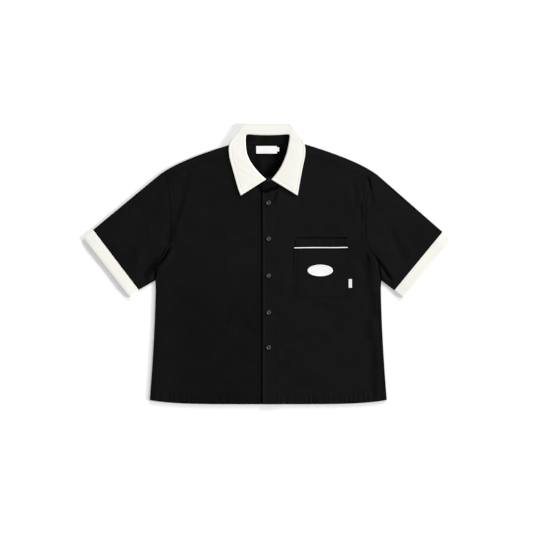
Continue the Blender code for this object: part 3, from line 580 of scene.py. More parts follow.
def outward(points):
    """The plan direction at right angles to a line of points, to the right of its run."""
    run = unit(np.gradient(np.asarray(points, float), axis=0))
    return np.stack([run[:, 1], -run[:, 0]], 1)


def upper_y(x, side=1):
    """The upper outline's height up the shirt at each x."""
    edge = upper_edge(side)
    return np.interp(x, edge[:, 0], edge[:, 1])


def upper_fold(x, side, fold_in):
    """The middle line of the fold along the upper outline at each x, and the outward direction there."""
    edge = upper_edge(side)
    edge = picked(edge, np.linspace(0.0, along(edge)[-1], 240))
    out = -outward(edge)
    inner = edge - fold_in * out
    plan = np.stack([x, np.interp(x, inner[:, 0], inner[:, 1])], -1)
    return plan, unit(read(x, inner[:, 0], out))


def front_neck_angle():
    """Where the front yoke seam meets the neck seam, as an angle of its ellipse."""
    theta = np.linspace(0.9, 1.5, 200)
    point = neck_ring(theta, NECK_SEAM)
    return float(np.interp(0.0, point[:, 1] - upper_y(point[:, 0]) + FRONT_YOKE_DROP, theta))


NECK_END = front_neck_angle()


def yoke_seam_y(x):
    """The front yoke seam: the shoulder line moved down, easing to its end on the armhole."""
    end = armhole_x(SEAM_END_Y)
    start = end - 0.016
    t = smooth((x - start) / (end - start))
    return (upper_y(x) - FRONT_YOKE_DROP) * (1 - t) + (SEAM_END_Y + 0.2 * (end - x)) * t


def back_neck_y(x):
    """The neck seam behind: a shallow arc that dips in the middle."""
    return NECK_SEAM[2] - BACK_NECK_DIP * (1 - (x / NECK_SEAM[0]) ** 2)


def ripple(s, seed):
    """An uneven wave from -1 to 1 along a seam: two sines of odd lengths under a slow swell."""
    first = np.sin(s * 2 * math.pi / 0.0115 + seed + 1.3 * np.sin(s * 2 * math.pi / 0.047 + seed))
    second = np.sin(s * 2 * math.pi / 0.0073 + 2.1 * seed)
    return (0.55 + 0.45 * np.sin(s * 2 * math.pi / 0.083 + 1.7 * seed)) * (0.65 * first + 0.35 * second)


def felled(gap, s, seed):
    """What a felled seam adds to the piece on top: a raised band 9 mm wide, drawn in along its stitches, and
    puckers."""
    band = 0.00024 * (1 - smooth((gap - 0.0088) / 0.0024))
    drawn = 0.00026 * bell((gap - 0.0092) / 0.0011)
    return band - drawn + 0.00014 * ripple(s, seed) * bell((gap - 0.0075) / 0.0060)


def armhole_lean(y):
    """How much wider a strip beside the armhole seam is across the shirt than square to the seam."""
    return np.hypot(1.0, (armhole_x(y + 0.002) - armhole_x(y - 0.002)) / 0.004)


def armhole_gap(x, y):
    """Distance inwards from the armhole seam, for x without its sign. It grows quickly below the armpit."""
    return (armhole_x(y) - x) / armhole_lean(y) + 0.03 * smooth((ARMPIT_Y + 0.004 - y) / 0.012)


def yoke_height(x, y, sign):
    """Middle of the yoke over a front, at unsigned places: felled along its seam and the armhole."""
    height = lay(x * sign, y) + PLY / 2 - YOKE_WALL / 2
    height = height + felled((y - yoke_seam_y(x)) * 1.6, x, 1.0 + sign) * smooth((x - 0.070) / 0.010)
    return height + felled(armhole_gap(x, y), y, 2.0 + sign)


def yoke_points():
    """Under layer from the back seam to the shoulder folds and the neck, arcs round the folds, both flaps."""
    start = NECK_SEAM[0] + SEAM / 2
    end = armhole_x(ARMHOLE_TOP_Y) - SEAM / 2
    ridge_x = start + (end - start) * graded((0.86, 0.0175), (1.0, 0.008))
    ridge, out = upper_fold(ridge_x, 1, YOKE_FOLD_IN)
    count = len(ridge_x)
    share = np.linspace(0.0, 1.0, 26)[:, None]
    arm_y = BACK_YOKE_Y + SEAM / 2 + (ridge[-1, 1] - BACK_YOKE_Y) * share[:, 0]
    arm_x = armhole_x(arm_y) - SEAM / 2
    arm_x[-1] = ridge[-1, 0]
    across = (ridge_x - start) / (end - start)
    x = start + (arm_x[:, None] - start) * across
    y = arm_y[:1] + (ridge[:, 1] - arm_y[0]) * share
    shoulder = raised(x, y, YOKE_MID)
    neck_x = np.linspace(-start, start, 41)[1:-1]
    neck_y = arm_y[0] + (back_neck_y(neck_x) + 0.0025 - arm_y[0]) * share
    neck = raised(neck_x, neck_y, YOKE_MID)
    soft = 0.00055 * bell((neck[..., 0] + 0.0135) / 0.0045) * smooth((0.278 - neck[..., 1]) / 0.02)
    soft += 0.0004 * bell((neck[..., 0] - 0.006) / 0.008) * smooth((0.262 - neck[..., 1]) / 0.02)
    neck[..., 2] += soft * smooth((neck[..., 1] - 0.205) / 0.02)
    under = np.concatenate([shoulder[:, ::-1] * (-1, 1, 1), neck, shoulder], axis=1)
    arc = fold_arc(ridge, out, np.full(count, YOKE_TOP), np.full(count, YOKE_MID), 8)[::-1]
    down = graded((0.0030, 0.0010), (0.0125, 0.0019), (0.0185, 0.0010), (0.0215, 0.0008))[:, None] / 0.0215
    seam_x = start + (armhole_x(SEAM_END_Y) - SEAM / 2 - start) * across
    seam_x[0] = neck_ring(NECK_END, NECK_SEAM)[0] + SEAM / 2
    seam = np.stack([seam_x, yoke_seam_y(seam_x) + SEAM / 2], 1)
    over_plan = ridge[None] * (1 - down[..., None]) + seam[None] * down[..., None]
    over_plan[:, -1, 0] = armhole_x(over_plan[:, -1, 1]) - SEAM / 2
    flaps = []
    for sign in (-1, 1):
        height = yoke_height(over_plan[..., 0], over_plan[..., 1], sign)
        height[0] = YOKE_TOP
        flaps.append(np.concatenate([arc, lifted(over_plan, height)]) * (sign, 1, 1))
    absent = np.full((flaps[0].shape[0], neck.shape[1], 3), np.nan)
    over = np.concatenate([flaps[0][:, ::-1], absent, flaps[1]], axis=1)
    return np.concatenate([under, over])


def layered(*shades):
    """How much darker shades make the cloth together: 1 less the product of what each one leaves."""
    left = 1.0
    for shade in shades:
        left = left * (1 - shade)
    return 1 - left


def seam_painted_shade(gap, s, seed):
    """Painted shade along a felled seam: in the crack, in the dips of its stitches, and in soft patches
    beside it.
    """
    crack = 0.13 * bell((gap - 0.0004) / 0.0024)
    dips = (0.27 + 0.27 * ripple(s, seed)) * bell((gap - 0.0098) / 0.0019)
    return crack + dips + 0.10 * ripple(s * 0.7, seed + 2.0) * bell((gap - 0.0050) / 0.0035)


def painted_crease_shade(x, y):
    """Painted shade in the bottoms of the troughs, how much darker than the open cloth they are drawn: more
    in the deep and narrow ones, where several lie over each other by what each leaves open."""
    open_share = np.ones(np.shape(x))
    for height, half, share in crease_bells(x, y):
        if height < 0:
            open_share = open_share * (1 - (1 - math.exp(1.35 * height / half)) * share**1.3)
    return 1 - open_share


def soft_spot(x, y, middle, reach):
    """1 in the middle of a patch and towards 0 past its reach: exp of minus the squares of both distances,
    each over its reach."""
    return np.exp(-(((x - middle[0]) / reach[0]) ** 2) - ((y - middle[1]) / reach[1]) ** 2)


def tone_by_place(x, y):
    """How much darker the black is by place: paler on the wearer's left, less so low at its side and on its
    sleeve, darker low on the right front, and paler in two soft spots on the right.
    """
    left = smooth((x + 0.0158) / 0.0008)
    low = smooth((0.02 - y) / 0.16) * smooth((0.29 - np.abs(x)) / 0.10)
    paler_spots = 0.13 * soft_spot(x, y, (-0.062, 0.035), (0.036, 0.085))
    paler_spots = paler_spots + 0.15 * soft_spot(x, y, (-0.275, -0.110), (0.026, 0.070))
    side = 0.09 * smooth((x - 0.218) / 0.026) * smooth((-0.130 - y) / 0.070)
    side = side + 0.10 * soft_spot(x, y, (0.215, 0.000), (0.045, 0.080)) + 0.08 * smooth((x - 0.330) / 0.060)
    return (1 - left) * (0.17 * low - 0.03 - paler_spots) - left * (0.17 - 0.05 * low - side)


def cloth_shade_and_tone(x, y):
    """How much darker the black cloth is drawn: its tone by place, and painted shade in its creases, along
    the armholes and at its outline.
    """
    armhole = seam_painted_shade(armhole_gap(np.abs(x), y), y, 3.0) * smooth((y - ARMPIT_Y) / 0.010)
    armhole = armhole * np.where(x > 0, 0.35, 0.8)
    return layered(tone_by_place(x, y), painted_crease_shade(x, y), armhole, rim(x, y))


def yoke_shade_and_tone(x, y):
    """Painted shade on the yoke, with the cloth's tone: along its front seams, and inside the neck, where the
    collar covers it, a painted shadow of the collar, darkest towards +X, under the label and at the V's tip,
    with painted pale streaks.
    """
    seam = seam_painted_shade((y - yoke_seam_y(np.abs(x))) * 1.6, x, 1.0) * smooth((np.abs(x) - 0.070) / 0.010)
    over = layered(cloth_shade_and_tone(x, y), seam)
    lower = smooth((0.262 - y) / 0.030)
    beside = 0.284 + 0.017 * smooth((x - 0.020) / 0.010)
    right = 0.90 * smooth((x + 0.001 + 0.0135 * lower) / 0.026) * smooth((beside - y) / 0.018)
    left = 0.60 * smooth((-0.018 - 0.008 * lower - x) / 0.012) * lower + 0.35 * lower
    left = np.maximum(left, 0.52 * bell((x + 0.0275) / 0.0055) * smooth((0.276 - y) / 0.010))
    under_label = 0.80 * bell((y - 0.2745) / 0.0030) * smooth((0.033 - np.abs(x + 0.004)) / 0.004)
    tip = 0.65 * smooth((0.240 - y) / 0.014)
    # strip lightens the painted shadow: painted pale streaks inside the neck.
    strip = 1 + (0.15 + 0.75 * lower) * bell((x + 0.0140) / 0.0034) * smooth((0.272 - y) / 0.010)
    strip = strip + 0.45 * bell((x + 0.048) / 0.006) * smooth((y - 0.286) / 0.006)
    inner = 1 - 0.92 * (1 - right) * (1 - left) * (1 - under_label) * (1 - tip) * strip
    return np.where(np.abs(x) < 0.066, inner, over)


def capsules(name, centre, way, length, radius, thread):
    """Short threads, one mesh: each a rod of six sides about its centre, thinner and sunk at both ends."""
    way = unit(way)
    side = unit(np.cross((0.0, 0.0, 1.0), way))
    up = np.cross(way, side)
    place = np.array([-0.5, -0.31, 0.31, 0.5])[:, None] * length
    thick = np.array([0.45, 1.0, 1.0, 0.45])[:, None] * radius
    sunk = np.array([-0.7, 0.25, 0.25, -0.7])[:, None] * radius
    angle = np.arange(6) * math.pi / 3
    parts = (place + 0 * angle, thick * np.cos(angle), thick * np.sin(angle) + sunk)
    ways = zip(parts, (way, side, up))
    points = centre[:, None, None] + sum(part[None, :, :, None] * to[:, None, None] for part, to in ways)
    k = np.arange(6)
    band = np.stack([k, (k + 1) % 6, (k + 1) % 6 + 6, k + 6], 1)
    ends = np.array([[3, 2, 1, 0], [5, 4, 3, 0], [18, 19, 20, 21], [18, 21, 22, 23]])
    one = np.concatenate([band, band + 6, band + 12, ends])
    faces = (one[None] + 24 * np.arange(len(centre))[:, None, None]).reshape(-1, 4)
    return piece(quad_mesh(name, points.reshape(-1, 3), faces, np.zeros((len(faces), 4, 2))), thread)


def stitched(name, lines, thread, pitch=0.0031, length=0.0022, radius=0.00024):
    """Rows of stitches on the cloth's face, along lines of points on it."""
    at = [np.arange(pitch / 2, along(line)[-1] - pitch / 3, pitch) for line in lines]
    centre = np.concatenate([picked(line, k) for line, k in zip(lines, at)])
    way = np.concatenate([picked(line, k + 0.0003) - picked(line, k - 0.0003) for line, k in zip(lines, at)])
    return capsules(name, centre, way, length, radius, thread)


BLACK_THREAD = (finish("black_thread", (0.0055, 0.0055, 0.0059), 0.75, 0.06)[0], "black_twill")

yoke = piece(shell("yoke_panel", yoke_points(), YOKE_WALL), BLACK_TWILL, "yoke")
deepened(yoke, yoke_shade_and_tone)
seam_x = np.linspace(NECK_SEAM[0] + 0.020, armhole_x(SEAM_END_Y) - 0.0098, 60)
arm_y = np.linspace(SEAM_END_Y + 0.001, ARMHOLE_TOP_Y - 0.006, 12)
rows = ((seam_x, yoke_seam_y(seam_x) + 0.0057), (armhole_x(arm_y) - 0.0094, arm_y))
lines = [raised(x, y, yoke_height(x, y, k) + YOKE_WALL / 2) * (k, 1, 1) for x, y in rows for k in (-1, 1)]
yoke_stitches = stitched("yoke_stitches", lines, BLACK_THREAD)

# --- Fronts ---------------------------------------------------------------------------------------
# Two panels of black twill from the hem to the front yoke seams. The wearer's left one laps over the right
# one, and its edge is folded under as a placket and stitched. Both hems are turned up 24 mm and stitched.

LEFT_EDGE = (-0.0155, -0.0157)      # place across the shirt of the front edge, at the hem and at the neck
RIGHT_EDGE = (-0.016, -0.016)       # the same, without its sign
LAP_MID = 0.00415           # middle of one ply where the left front lies on the right one
LAP_REACH = (0.020, 0.045)
UNDER_MID = 0.00130
BUTTON_X = 0.0008
BUTTON_YS = (0.1528, 0.0630, -0.0294, -0.1208, -0.2088)
PLACKET_LINE_X = 0.0172
HEM_DEPTH = 0.0245
FELL_STITCH_IN = 0.0093     # from the armhole seam to its stitches
UNDER_STAND = 0.0024        # how far a front reaches under the stand, the yoke and the back's wrap
UNDER_YOKE = 0.0028
UNDER_WRAP = 0.0026
FRONT_LEAST_MID = 0.00132
STRIP_LEAST_MID = 0.0015

# Puckers of the hem, in millimetres:  place  half width  height  lean
HEM_PUCKERS = (
    (-281, 2.5, 0.5, 0.10), (-272, 2.2, -0.6, 0.05), (-262, 3.0, 0.4, 0.0), (-248.3, 2.2, -0.45, 0.0),
    (-243.0, 2.4, 0.35, 0.0), (-238.3, 2.0, -0.60, 0.02), (-231.0, 2.6, 0.45, 0.0), (-224.5, 1.9, -0.65, 0.0),
    (-221.3, 1.4, 0.4, 0.0), (-218.3, 1.8, -0.60, 0.0), (-212.0, 2.4, 0.35, 0.0), (-204.5, 2.0, -0.45, 0.03),
    (-198.5, 2.5, 0.4, 0.1), (-193.3, 2.0, -0.65, 0.15), (-187.5, 2.4, 0.4, 0.2), (-182.0, 2.0, -0.60, 0.25),
    (-173.3, 2.4, -0.35, 0.1), (-160.0, 4.0, 0.3, 0.0), (-148.0, 4.0, -0.25, 0.0), (-135.0, 3.6, 0.3, 0.0),
    (-123.3, 2.6, -0.45, 0.0), (-113.0, 3.2, 0.4, -0.1), (-105.8, 2.5, -0.40, -0.1), (-96.0, 3.0, 0.3, 0.0),
    (-80.8, 2.8, -0.40, 0.05), (-70.0, 3.0, 0.3, 0.0), (-58.3, 2.6, -0.35, 0.0), (-44.0, 3.4, 0.3, 0.0),
    (-31.0, 3.0, -0.3, 0.0), (21.7, 2.2, -0.50, 0.0), (25.5, 1.8, 0.35, 0.0), (29.2, 2.0, -0.45, 0.0),
    (36.0, 3.0, 0.35, 0.1), (43.5, 2.6, -0.3, 0.1), (52.0, 3.4, 0.3, 0.0), (66.0, 4.0, -0.25, 0.0),
    (82.0, 3.6, 0.25, 0.0), (99.2, 2.4, -0.45, 0.1), (105.5, 2.4, 0.4, 0.0), (111.7, 2.0, -0.6, 0.0),
    (115.2, 1.5, 0.35, 0.0), (119.0, 1.8, -0.55, 0.0), (126.5, 2.6, 0.35, 0.0), (134.2, 2.0, -0.55, -0.1),
    (137.4, 1.4, 0.4, 0.0), (140.5, 1.8, -0.65, 0.0), (143.7, 1.4, 0.45, 0.0), (147.5, 1.9, -0.6, 0.1),
    (154.0, 2.5, 0.4, 0.1), (161.7, 2.0, -0.55, 0.0), (169.0, 2.6, 0.4, 0.0), (176.7, 1.9, -0.6, 0.0),
    (179.5, 1.3, 0.4, 0.0), (182.5, 1.8, -0.55, 0.0), (189.2, 2.0, -0.35, 0.1), (195.0, 2.4, 0.4, 0.0),
    (200.5, 2.0, -0.55, 0.0), (205.5, 1.8, 0.4, 0.0), (210.5, 1.9, -0.5, 0.0), (216.0, 2.2, 0.35, -0.1),
    (221.7, 2.2, -0.45, 0.0), (229.0, 2.6, 0.3, 0.0), (236.7, 2.2, -0.5, -0.05), (242.0, 1.8, 0.35, 0.0),
    (246.7, 2.2, -0.5, 0.0), (254.0, 2.8, 0.35, 0.0), (261.8, 2.6, -0.6, 0.0), (272.0, 3.0, 0.4, 0.0),
    (281.0, 2.4, -0.5, -0.1),
)


def hem_line(x):
    """Height of the hem's stitches over its edge."""
    return HEM_DEPTH - 0.0011 * np.cos(x * 37.0)


def hem_relief(x, y):
    """The turned-up hem: a little thicker below its stitches, drawn in along them, puckered, and wavy at its
    edge."""
    rise = y - hem_y(x)
    line = hem_line(x)
    total = 0.00018 * (1 - smooth((rise - line + 0.0004) / 0.0010))
    total -= 0.00016 * bell((rise - line) / 0.0016)
    reach = smooth((rise + 0.004) / 0.008) * (1 - smooth((rise - line + 0.012) / 0.012))
    for place, half, height, lean in HEM_PUCKERS:
        off = x - place * MM - lean * (rise - 0.012)
        total += height * MM * reach * bell(off / (half * MM))
    return total + 0.00035 * ripple(x * 0.42, 3.0) * (1 - smooth(rise / 0.010))


def edge_x(y, edge):
    """A front edge: from the hem to the neck, bowed a little."""
    hem_x, top_x = edge
    foot, head = hem_y(hem_x), NECK_SEAM[2] - NECK_SEAM[1]
    share = (y - foot) / (head - foot)
    return hem_x + (top_x - hem_x) * share + 0.0006 * np.sin(math.pi * share)


def neck_gap(x, y):
    """Distance outside the neck seam, near enough: how far its ellipse would have to grow."""
    grown = np.hypot(x / NECK_SEAM[0], (y - NECK_SEAM[2]) / NECK_SEAM[1])
    return (grown - 1) * 0.095


def stand_askew(x):
    """How far the stand's lapped end lies above the neck seam's even curve: less than 0 at its tip."""
    return 0.0052 * np.tanh(x / 0.008) * bell(x / 0.022)


def stand_crack(x, y):
    """1 along the stand's lower edge in front, fading to 0 on both sides of it and beyond its reach."""
    off = neck_gap(np.abs(x), y - stand_askew(x)) - 0.0014
    return bell(off / np.where(off > 0, 0.0032, 0.0055)) * smooth((0.030 - np.abs(x)) / 0.010)


def tucked(gap):
    """What the piece below loses as it passes under a seam's edge."""
    return -0.0009 * (1 - smooth((gap + 0.0010) / 0.0038))


def body_height(x, y, sign, lapped):
    """Middle of one ply of a front at unsigned places: the layer, then what its seams and hem do to it."""
    height = kept_up(lapped(level(x * sign, y), x, y) + relief(x * sign, y))
    height = height + felled(armhole_gap(x, y), y, 2.0 + sign) * (0.8 - 0.25 * sign)
    height = height + tucked(yoke_seam_y(x) - y)
    fold, wrap = side_fold()
    side_gap = np.interp(y, fold[:, 1], fold[:, 0] - wrap) - x
    side = 1 - smooth((y - ARMPIT_Y + 0.012) / 0.010)
    height = height + side * tucked(side_gap)
    height = height + side * 0.00016 * ripple(y, 5.0 + sign) * bell((side_gap - 0.004) / 0.004)
    height = height + tucked(neck_gap(x, y)) * smooth((0.29 - y) / 0.02)
    return np.maximum(height + hem_relief(x * sign, y), FRONT_LEAST_MID)


def over_lap(flat, x, y):
    """The left front rises on to the right one: an S from the upper layer's height to the lap's."""
    over = 1 - smooth((x - LAP_REACH[0]) / (LAP_REACH[1] - LAP_REACH[0]))
    return flat * (1 - over) + LAP_MID * over


def under_lap(flat, x, y):
    """The right front sinks below the left one's edge, in a groove that follows it."""
    under = smooth((0.0046 - edge_x(y, LEFT_EDGE) - x) / 0.0024)
    return (flat + 0.0001) * (1 - under) + UNDER_MID * under


def left_height(x, y):
    """Middle of one ply of the left front, with the placket's fold, its stitches and the drags beside it."""
    height = body_height(x, y, 1, over_lap)
    from_edge = x - edge_x(y, LEFT_EDGE)
    line = PLACKET_LINE_X + 0.0004 * np.sin(y * 61.0)
    height = height + 0.00042 * bell((from_edge - 0.0030) / 0.0020)
    height = height - 0.00022 * (1 - smooth((from_edge + 0.0002) / 0.0012))
    height = height + 0.00012 * (1 - smooth((x - line + 0.0004) / 0.0008)) - 0.0015 * stand_crack(x, y)
    height = height - 0.00030 * bell((x - line - 0.0003) / 0.0010)
    drag = bell((x - line - 0.006) / 0.009) * smooth((x - line + 0.004) / 0.006)
    height = height + 0.00028 * ripple((y + 0.5 * (x - line)) * 0.55, 7.0) * drag
    return height + 0.00010 * ripple(y * 0.9, 4.0) * (1 - smooth((x - line) / 0.004))


def right_height(x, y):
    """Middle of one ply of the right front, at unsigned places: it dips to pass under the left one."""
    return body_height(x, y, -1, under_lap)


HEM_ROWS = HEM_DEPTH + graded((0.0030, 0.0008))
HEM_STRIP_WALL = PLY + 0.0005


def front_shade_and_tone(x, y):
    """Painted light and shade on the fronts, with the cloth's tone: painted shade in creases and seams, in
    the hem's dips and along its stitches, and painted highlights as pale ticks along the hem's edge.
    """
    rise = y - hem_y(x)
    dips = np.zeros(np.shape(x))
    for place, half, height, lean in HEM_PUCKERS:
        if height < 0:
            dips = dips - height * bell((x - place * MM - lean * (rise - 0.012)) / (half * MM * 0.8))
    near_line = bell((rise - hem_line(x)) / 0.0013)
    hem = near_line * (0.02 + 0.12 * ripple(x, 5.0))
    hem = hem + 0.27 * dips * (1 - smooth((rise - hem_line(x)) / 0.004))
    # Painted highlights: pale ticks along the hem's edge.
    hem = hem - 0.55 * np.maximum(ripple(x * 0.8, 2.6), 0.0) * bell((rise - 0.0042) / 0.0022)
    return layered(cloth_shade_and_tone(x, y), hem)


def left_shade_and_tone(x, y):
    """Painted light and shade on the left front, with the fronts' own: a painted highlight on the roll of its
    edge and painted shade at the very edge, in the placket's stitches, round the buttons and under the
    stand's end, and a dark and a pale line beside the pocket."""
    from_edge = x - edge_x(y, LEFT_EDGE)
    # roll: a painted highlight on the edge's roll, and painted shade at the edge itself.
    roll = -0.24 * bell((from_edge - 0.0040) / 0.0020) + 0.35 * bell(from_edge / 0.0014)
    line = (0.12 + 0.14 * ripple(y, 6.0)) * bell((x - PLACKET_LINE_X) / 0.0014)
    cast = 0.90 * stand_crack(x, y)
    beside = 0.16 * bell((x - 0.0550) / 0.0012) - 0.16 * bell((x - 0.0592) / 0.0014)
    beside = beside * smooth((0.066 - y) / 0.006) * smooth((y + 0.020) / 0.012)
    beside = beside * (1 + 0.4 * ripple(y * 0.4, 1.0))
    ring = np.zeros(np.shape(x))
    for button_y in BUTTON_YS:
        far = np.hypot(x - BUTTON_X - 0.0003, y - button_y + 0.0008)
        ring = ring + 0.82 * bell((far - 0.0054) / 0.0019)
    return layered(front_shade_and_tone(x, y), roll, line, cast, ring, beside)


def right_shade_and_tone(x, y):
    """Painted shade on the right front, with the fronts' own: a painted shadow where it passes under the left
    one's edge, and a faint dark line beside it.
    """
    past = -edge_x(y, LEFT_EDGE) - np.abs(x)
    lap = 0.90 * smooth((past + 0.0050) / 0.0024) + 0.08 * bell((past + 0.0092) / 0.0014)
    return layered(front_shade_and_tone(x, y), lap)


def front_plan(edge, inner_columns):
    """A front in plan at +X. Rows follow the hem at the bottom and the yoke seam at the top, and run from the
    front edge, then the neckline, out to the side seam, then the armhole. The first columns keep their own
    distances."""
    edge_hem_x, edge_top_x = edge
    fold, wrap = side_fold()
    side = np.stack([fold[:, 0] - wrap + UNDER_WRAP, fold[:, 1]], 1)
    scye_y = np.linspace(ARMPIT_Y + 0.002, SEAM_END_Y + UNDER_YOKE, 90)
    outer = np.vstack([side, np.stack([armhole_x(scye_y) - SEAM / 2, scye_y], 1)])
    theta = np.linspace(math.asin(edge_top_x / NECK_SEAM[0]), NECK_END + 0.03, 50)
    neckline = neck_ring(theta, NECK_SEAM, -UNDER_STAND)
    foot = np.array([[edge_hem_x, hem_y(edge_hem_x)]])
    low = along(np.vstack([foot, neckline[:1]]))[-1]
    panel_rows = graded((0.256, 0.0031), (0.392, 0.00145), (low - HEM_ROWS[-1], 0.0024))
    low_marks = np.concatenate([HEM_ROWS, HEM_ROWS[-1] + panel_rows[1:]])
    neck_run = along(neckline)
    neck_marks = neck_run[-1] * graded((0.93, 0.025), (1.0, 0.011))[1:]
    inner = np.vstack([picked(np.vstack([foot, neckline[:1]]), low_marks), picked(neckline, neck_marks)])
    whole = along(outer)[-1]
    top_marks = (neck_run[-1] - neck_marks)[neck_marks > 0.93 * neck_run[-1] - 1e-9]
    own_marks = np.concatenate([low_marks, low + neck_marks])[len(HEM_ROWS) : len(inner) - len(top_marks)]
    climbed = (own_marks - HEM_ROWS[-1]) / (own_marks[-1] + own_marks[-1] - own_marks[-2] - HEM_ROWS[-1])
    middle = HEM_ROWS[-1] + (whole - top_marks[0] - HEM_ROWS[-1]) * climbed
    outer = picked(outer, np.concatenate([HEM_ROWS, middle, whole - top_marks]))
    reach = outer[:, :1] - inner[:, :1]
    width = graded((0.72, 0.0155), (0.955, 0.0056), (1.0, 0.0034))[1:]
    own = np.broadcast_to(inner_columns, (len(inner), len(inner_columns)))
    own = own * np.minimum(1.0, reach / 0.19)
    offset = np.hstack([own, own[:, -1:] + (reach - own[:, -1:]) * width])
    share = offset / reach
    x = inner[:, :1] + offset
    y = inner[:, 1:] * (1 - share) + outer[:, 1:] * share
    rise = low_marks[np.minimum(np.arange(len(inner)), len(low_marks) - 1)][:, None]
    y = y + (hem_y(x) + hem_line(x) - HEM_DEPTH + rise - y) * bell((rise - HEM_DEPTH) / 0.045)
    top_x = inner[-1, 0] + share * (outer[-1, 0] - inner[-1, 0])
    curve = yoke_seam_y(top_x) + UNDER_YOKE - inner[-1, 1] * (1 - share) - outer[-1, 1] * share
    fall = (along(inner)[-1] - along(inner))[:, None]
    return np.stack([x, y + curve * bell(fall / 0.060)], -1)


def hem_strip(name, edge, height, sign):
    """The turned-up hem below its stitches: a doubled strip with fine columns, its upper edge just under the
    panel."""
    fold, wrap = side_fold()
    last_rows = [0.0231, 0.0238, 0.0242, 0.0246, 0.0252]
    up = np.concatenate([graded((0.0060, 0.0010), (0.0220, 0.0020)), last_rows])
    level_y = hem_y(edge[0]) + up
    left = edge_x(level_y, edge)
    right = np.interp(level_y + 0.008, fold[:, 1], fold[:, 0] - wrap) + UNDER_WRAP
    x = left[:, None] + (right - left)[:, None] * np.linspace(0.0, 1.0, 258)
    y = hem_y(x) + up[:, None] * hem_line(x) / HEM_DEPTH
    under = 0.00072 * smooth((up[:, None] - 0.0239) / 0.0008)
    mid = height(x, y) + PLY / 2 - HEM_STRIP_WALL / 2 - under
    grid = raised(x, y, np.maximum(mid, STRIP_LEAST_MID))
    grid = grid if sign > 0 else grid[:, ::-1] * (-1, 1, 1)
    made = piece(shell(name, grid, HEM_STRIP_WALL), BLACK_TWILL)
    deepened(made, left_shade_and_tone if sign > 0 else right_shade_and_tone)
    return made, x[0]


def hem_stitches(first_row, height, sign):
    """The line of the hem's stitches, on the panel just above the strip."""
    y = hem_y(first_row) + hem_line(first_row) + 0.0014
    return raised(first_row, y, height(first_row, y) + PLY / 2) * (sign, 1, 1)


def armhole_stitches(height, sign):
    """The line of the armhole's stitches on a front: the armhole seam moved 9.3 mm inwards."""
    y = np.linspace(ARMPIT_Y + 0.006, SEAM_END_Y - 0.002, 90)
    x = armhole_x(y) - FELL_STITCH_IN * armhole_lean(y)
    return raised(x, y, height(x, y) + PLY / 2) * (sign, 1, 1)


placket_columns = graded((0.0048, 0.0008), (0.0305, 0.0032), (0.0372, 0.0008), (0.050, 0.0018))
left_plan = front_plan(LEFT_EDGE, placket_columns)
x, y = left_plan[..., 0], left_plan[..., 1]
left_wall = PLY + 0.0006 * (1 - smooth((x - PLACKET_LINE_X) / 0.0008))
left_grid = lifted(left_plan, left_height(x, y) + PLY / 2 - left_wall / 2)
left_front = piece(shell("left_front_panel", left_grid, left_wall), BLACK_TWILL, "left_front")
deepened(left_front, left_shade_and_tone)
left_hem, hem_x = hem_strip("left_front_hem", LEFT_EDGE, left_height, 1)
y = np.linspace(hem_y(PLACKET_LINE_X) + 0.004, NECK_SEAM[2] - NECK_SEAM[1] - 0.003, 300)
x = PLACKET_LINE_X + 0.0003 + 0.0004 * np.sin(y * 61.0)
placket = raised(x, y, left_height(x, y) + PLY / 2)
lines = [placket[8:], hem_stitches(hem_x[1:-3], left_height, 1), armhole_stitches(left_height, 1)]
left_stitches = stitched("left_front_stitches", lines, BLACK_THREAD)

right_plan = front_plan(RIGHT_EDGE, graded((0.032, 0.0064), (0.042, 0.0006), (0.052, 0.0020)))
right_grid = lifted(right_plan, right_height(right_plan[..., 0], right_plan[..., 1]))[:, ::-1] * (-1, 1, 1)
right_front = piece(shell("right_front_panel", right_grid, PLY), BLACK_TWILL, "right_front")
deepened(right_front, right_shade_and_tone)
right_hem, hem_x = hem_strip("right_front_hem", RIGHT_EDGE, right_height, -1)
lines = [hem_stitches(hem_x[28:-3], right_height, -1), armhole_stitches(right_height, -1)]
right_stitches = stitched("right_front_stitches", lines, BLACK_THREAD)

# --- Sleeves --------------------------------------------------------------------------------------
# Short set-in sleeves of black twill, sewn up underneath and lying flat as tubes. Their heads pass under the
# felled armhole seams, and their ends under the cream bands.

SLEEVE_END_MID = 0.00335    # middle of the upper ply where it goes under the band
SLEEVE_LEAST_MID = 0.00108


def tube_points(upper, lower, first_out, last_out, top, bottom, arc_steps, thin):
    """A flattened tube: the upper layer's rows, an arc round the last row, the lower layer's rows back, and
    an arc round the first. Between its ends each arc passes from the upper plan line to the lower one."""
    angle = np.linspace(0.0, math.pi, arc_steps + 1)[1:-1][:, None]
    turned = (1 - np.cos(angle)) / 2

    def arc(row, out):
        radius = (top[row] - bottom) / 2
        centre = upper[row][None] * (1 - turned[..., None]) + lower[row][None] * turned[..., None]
        plan = centre + (np.sin(angle) * radius)[..., None] * out[None]
        return lifted(plan, (top[row] + bottom) / 2 + np.cos(angle) * radius)

    under = lifted(lower, np.full(lower.shape[:2], bottom))[::-1]
    under = np.concatenate([under[:1], under[1:-1:thin], under[-1:]])
    return np.concatenate([lifted(upper, top), arc(-1, last_out), under, arc(0, first_out)[::-1]])


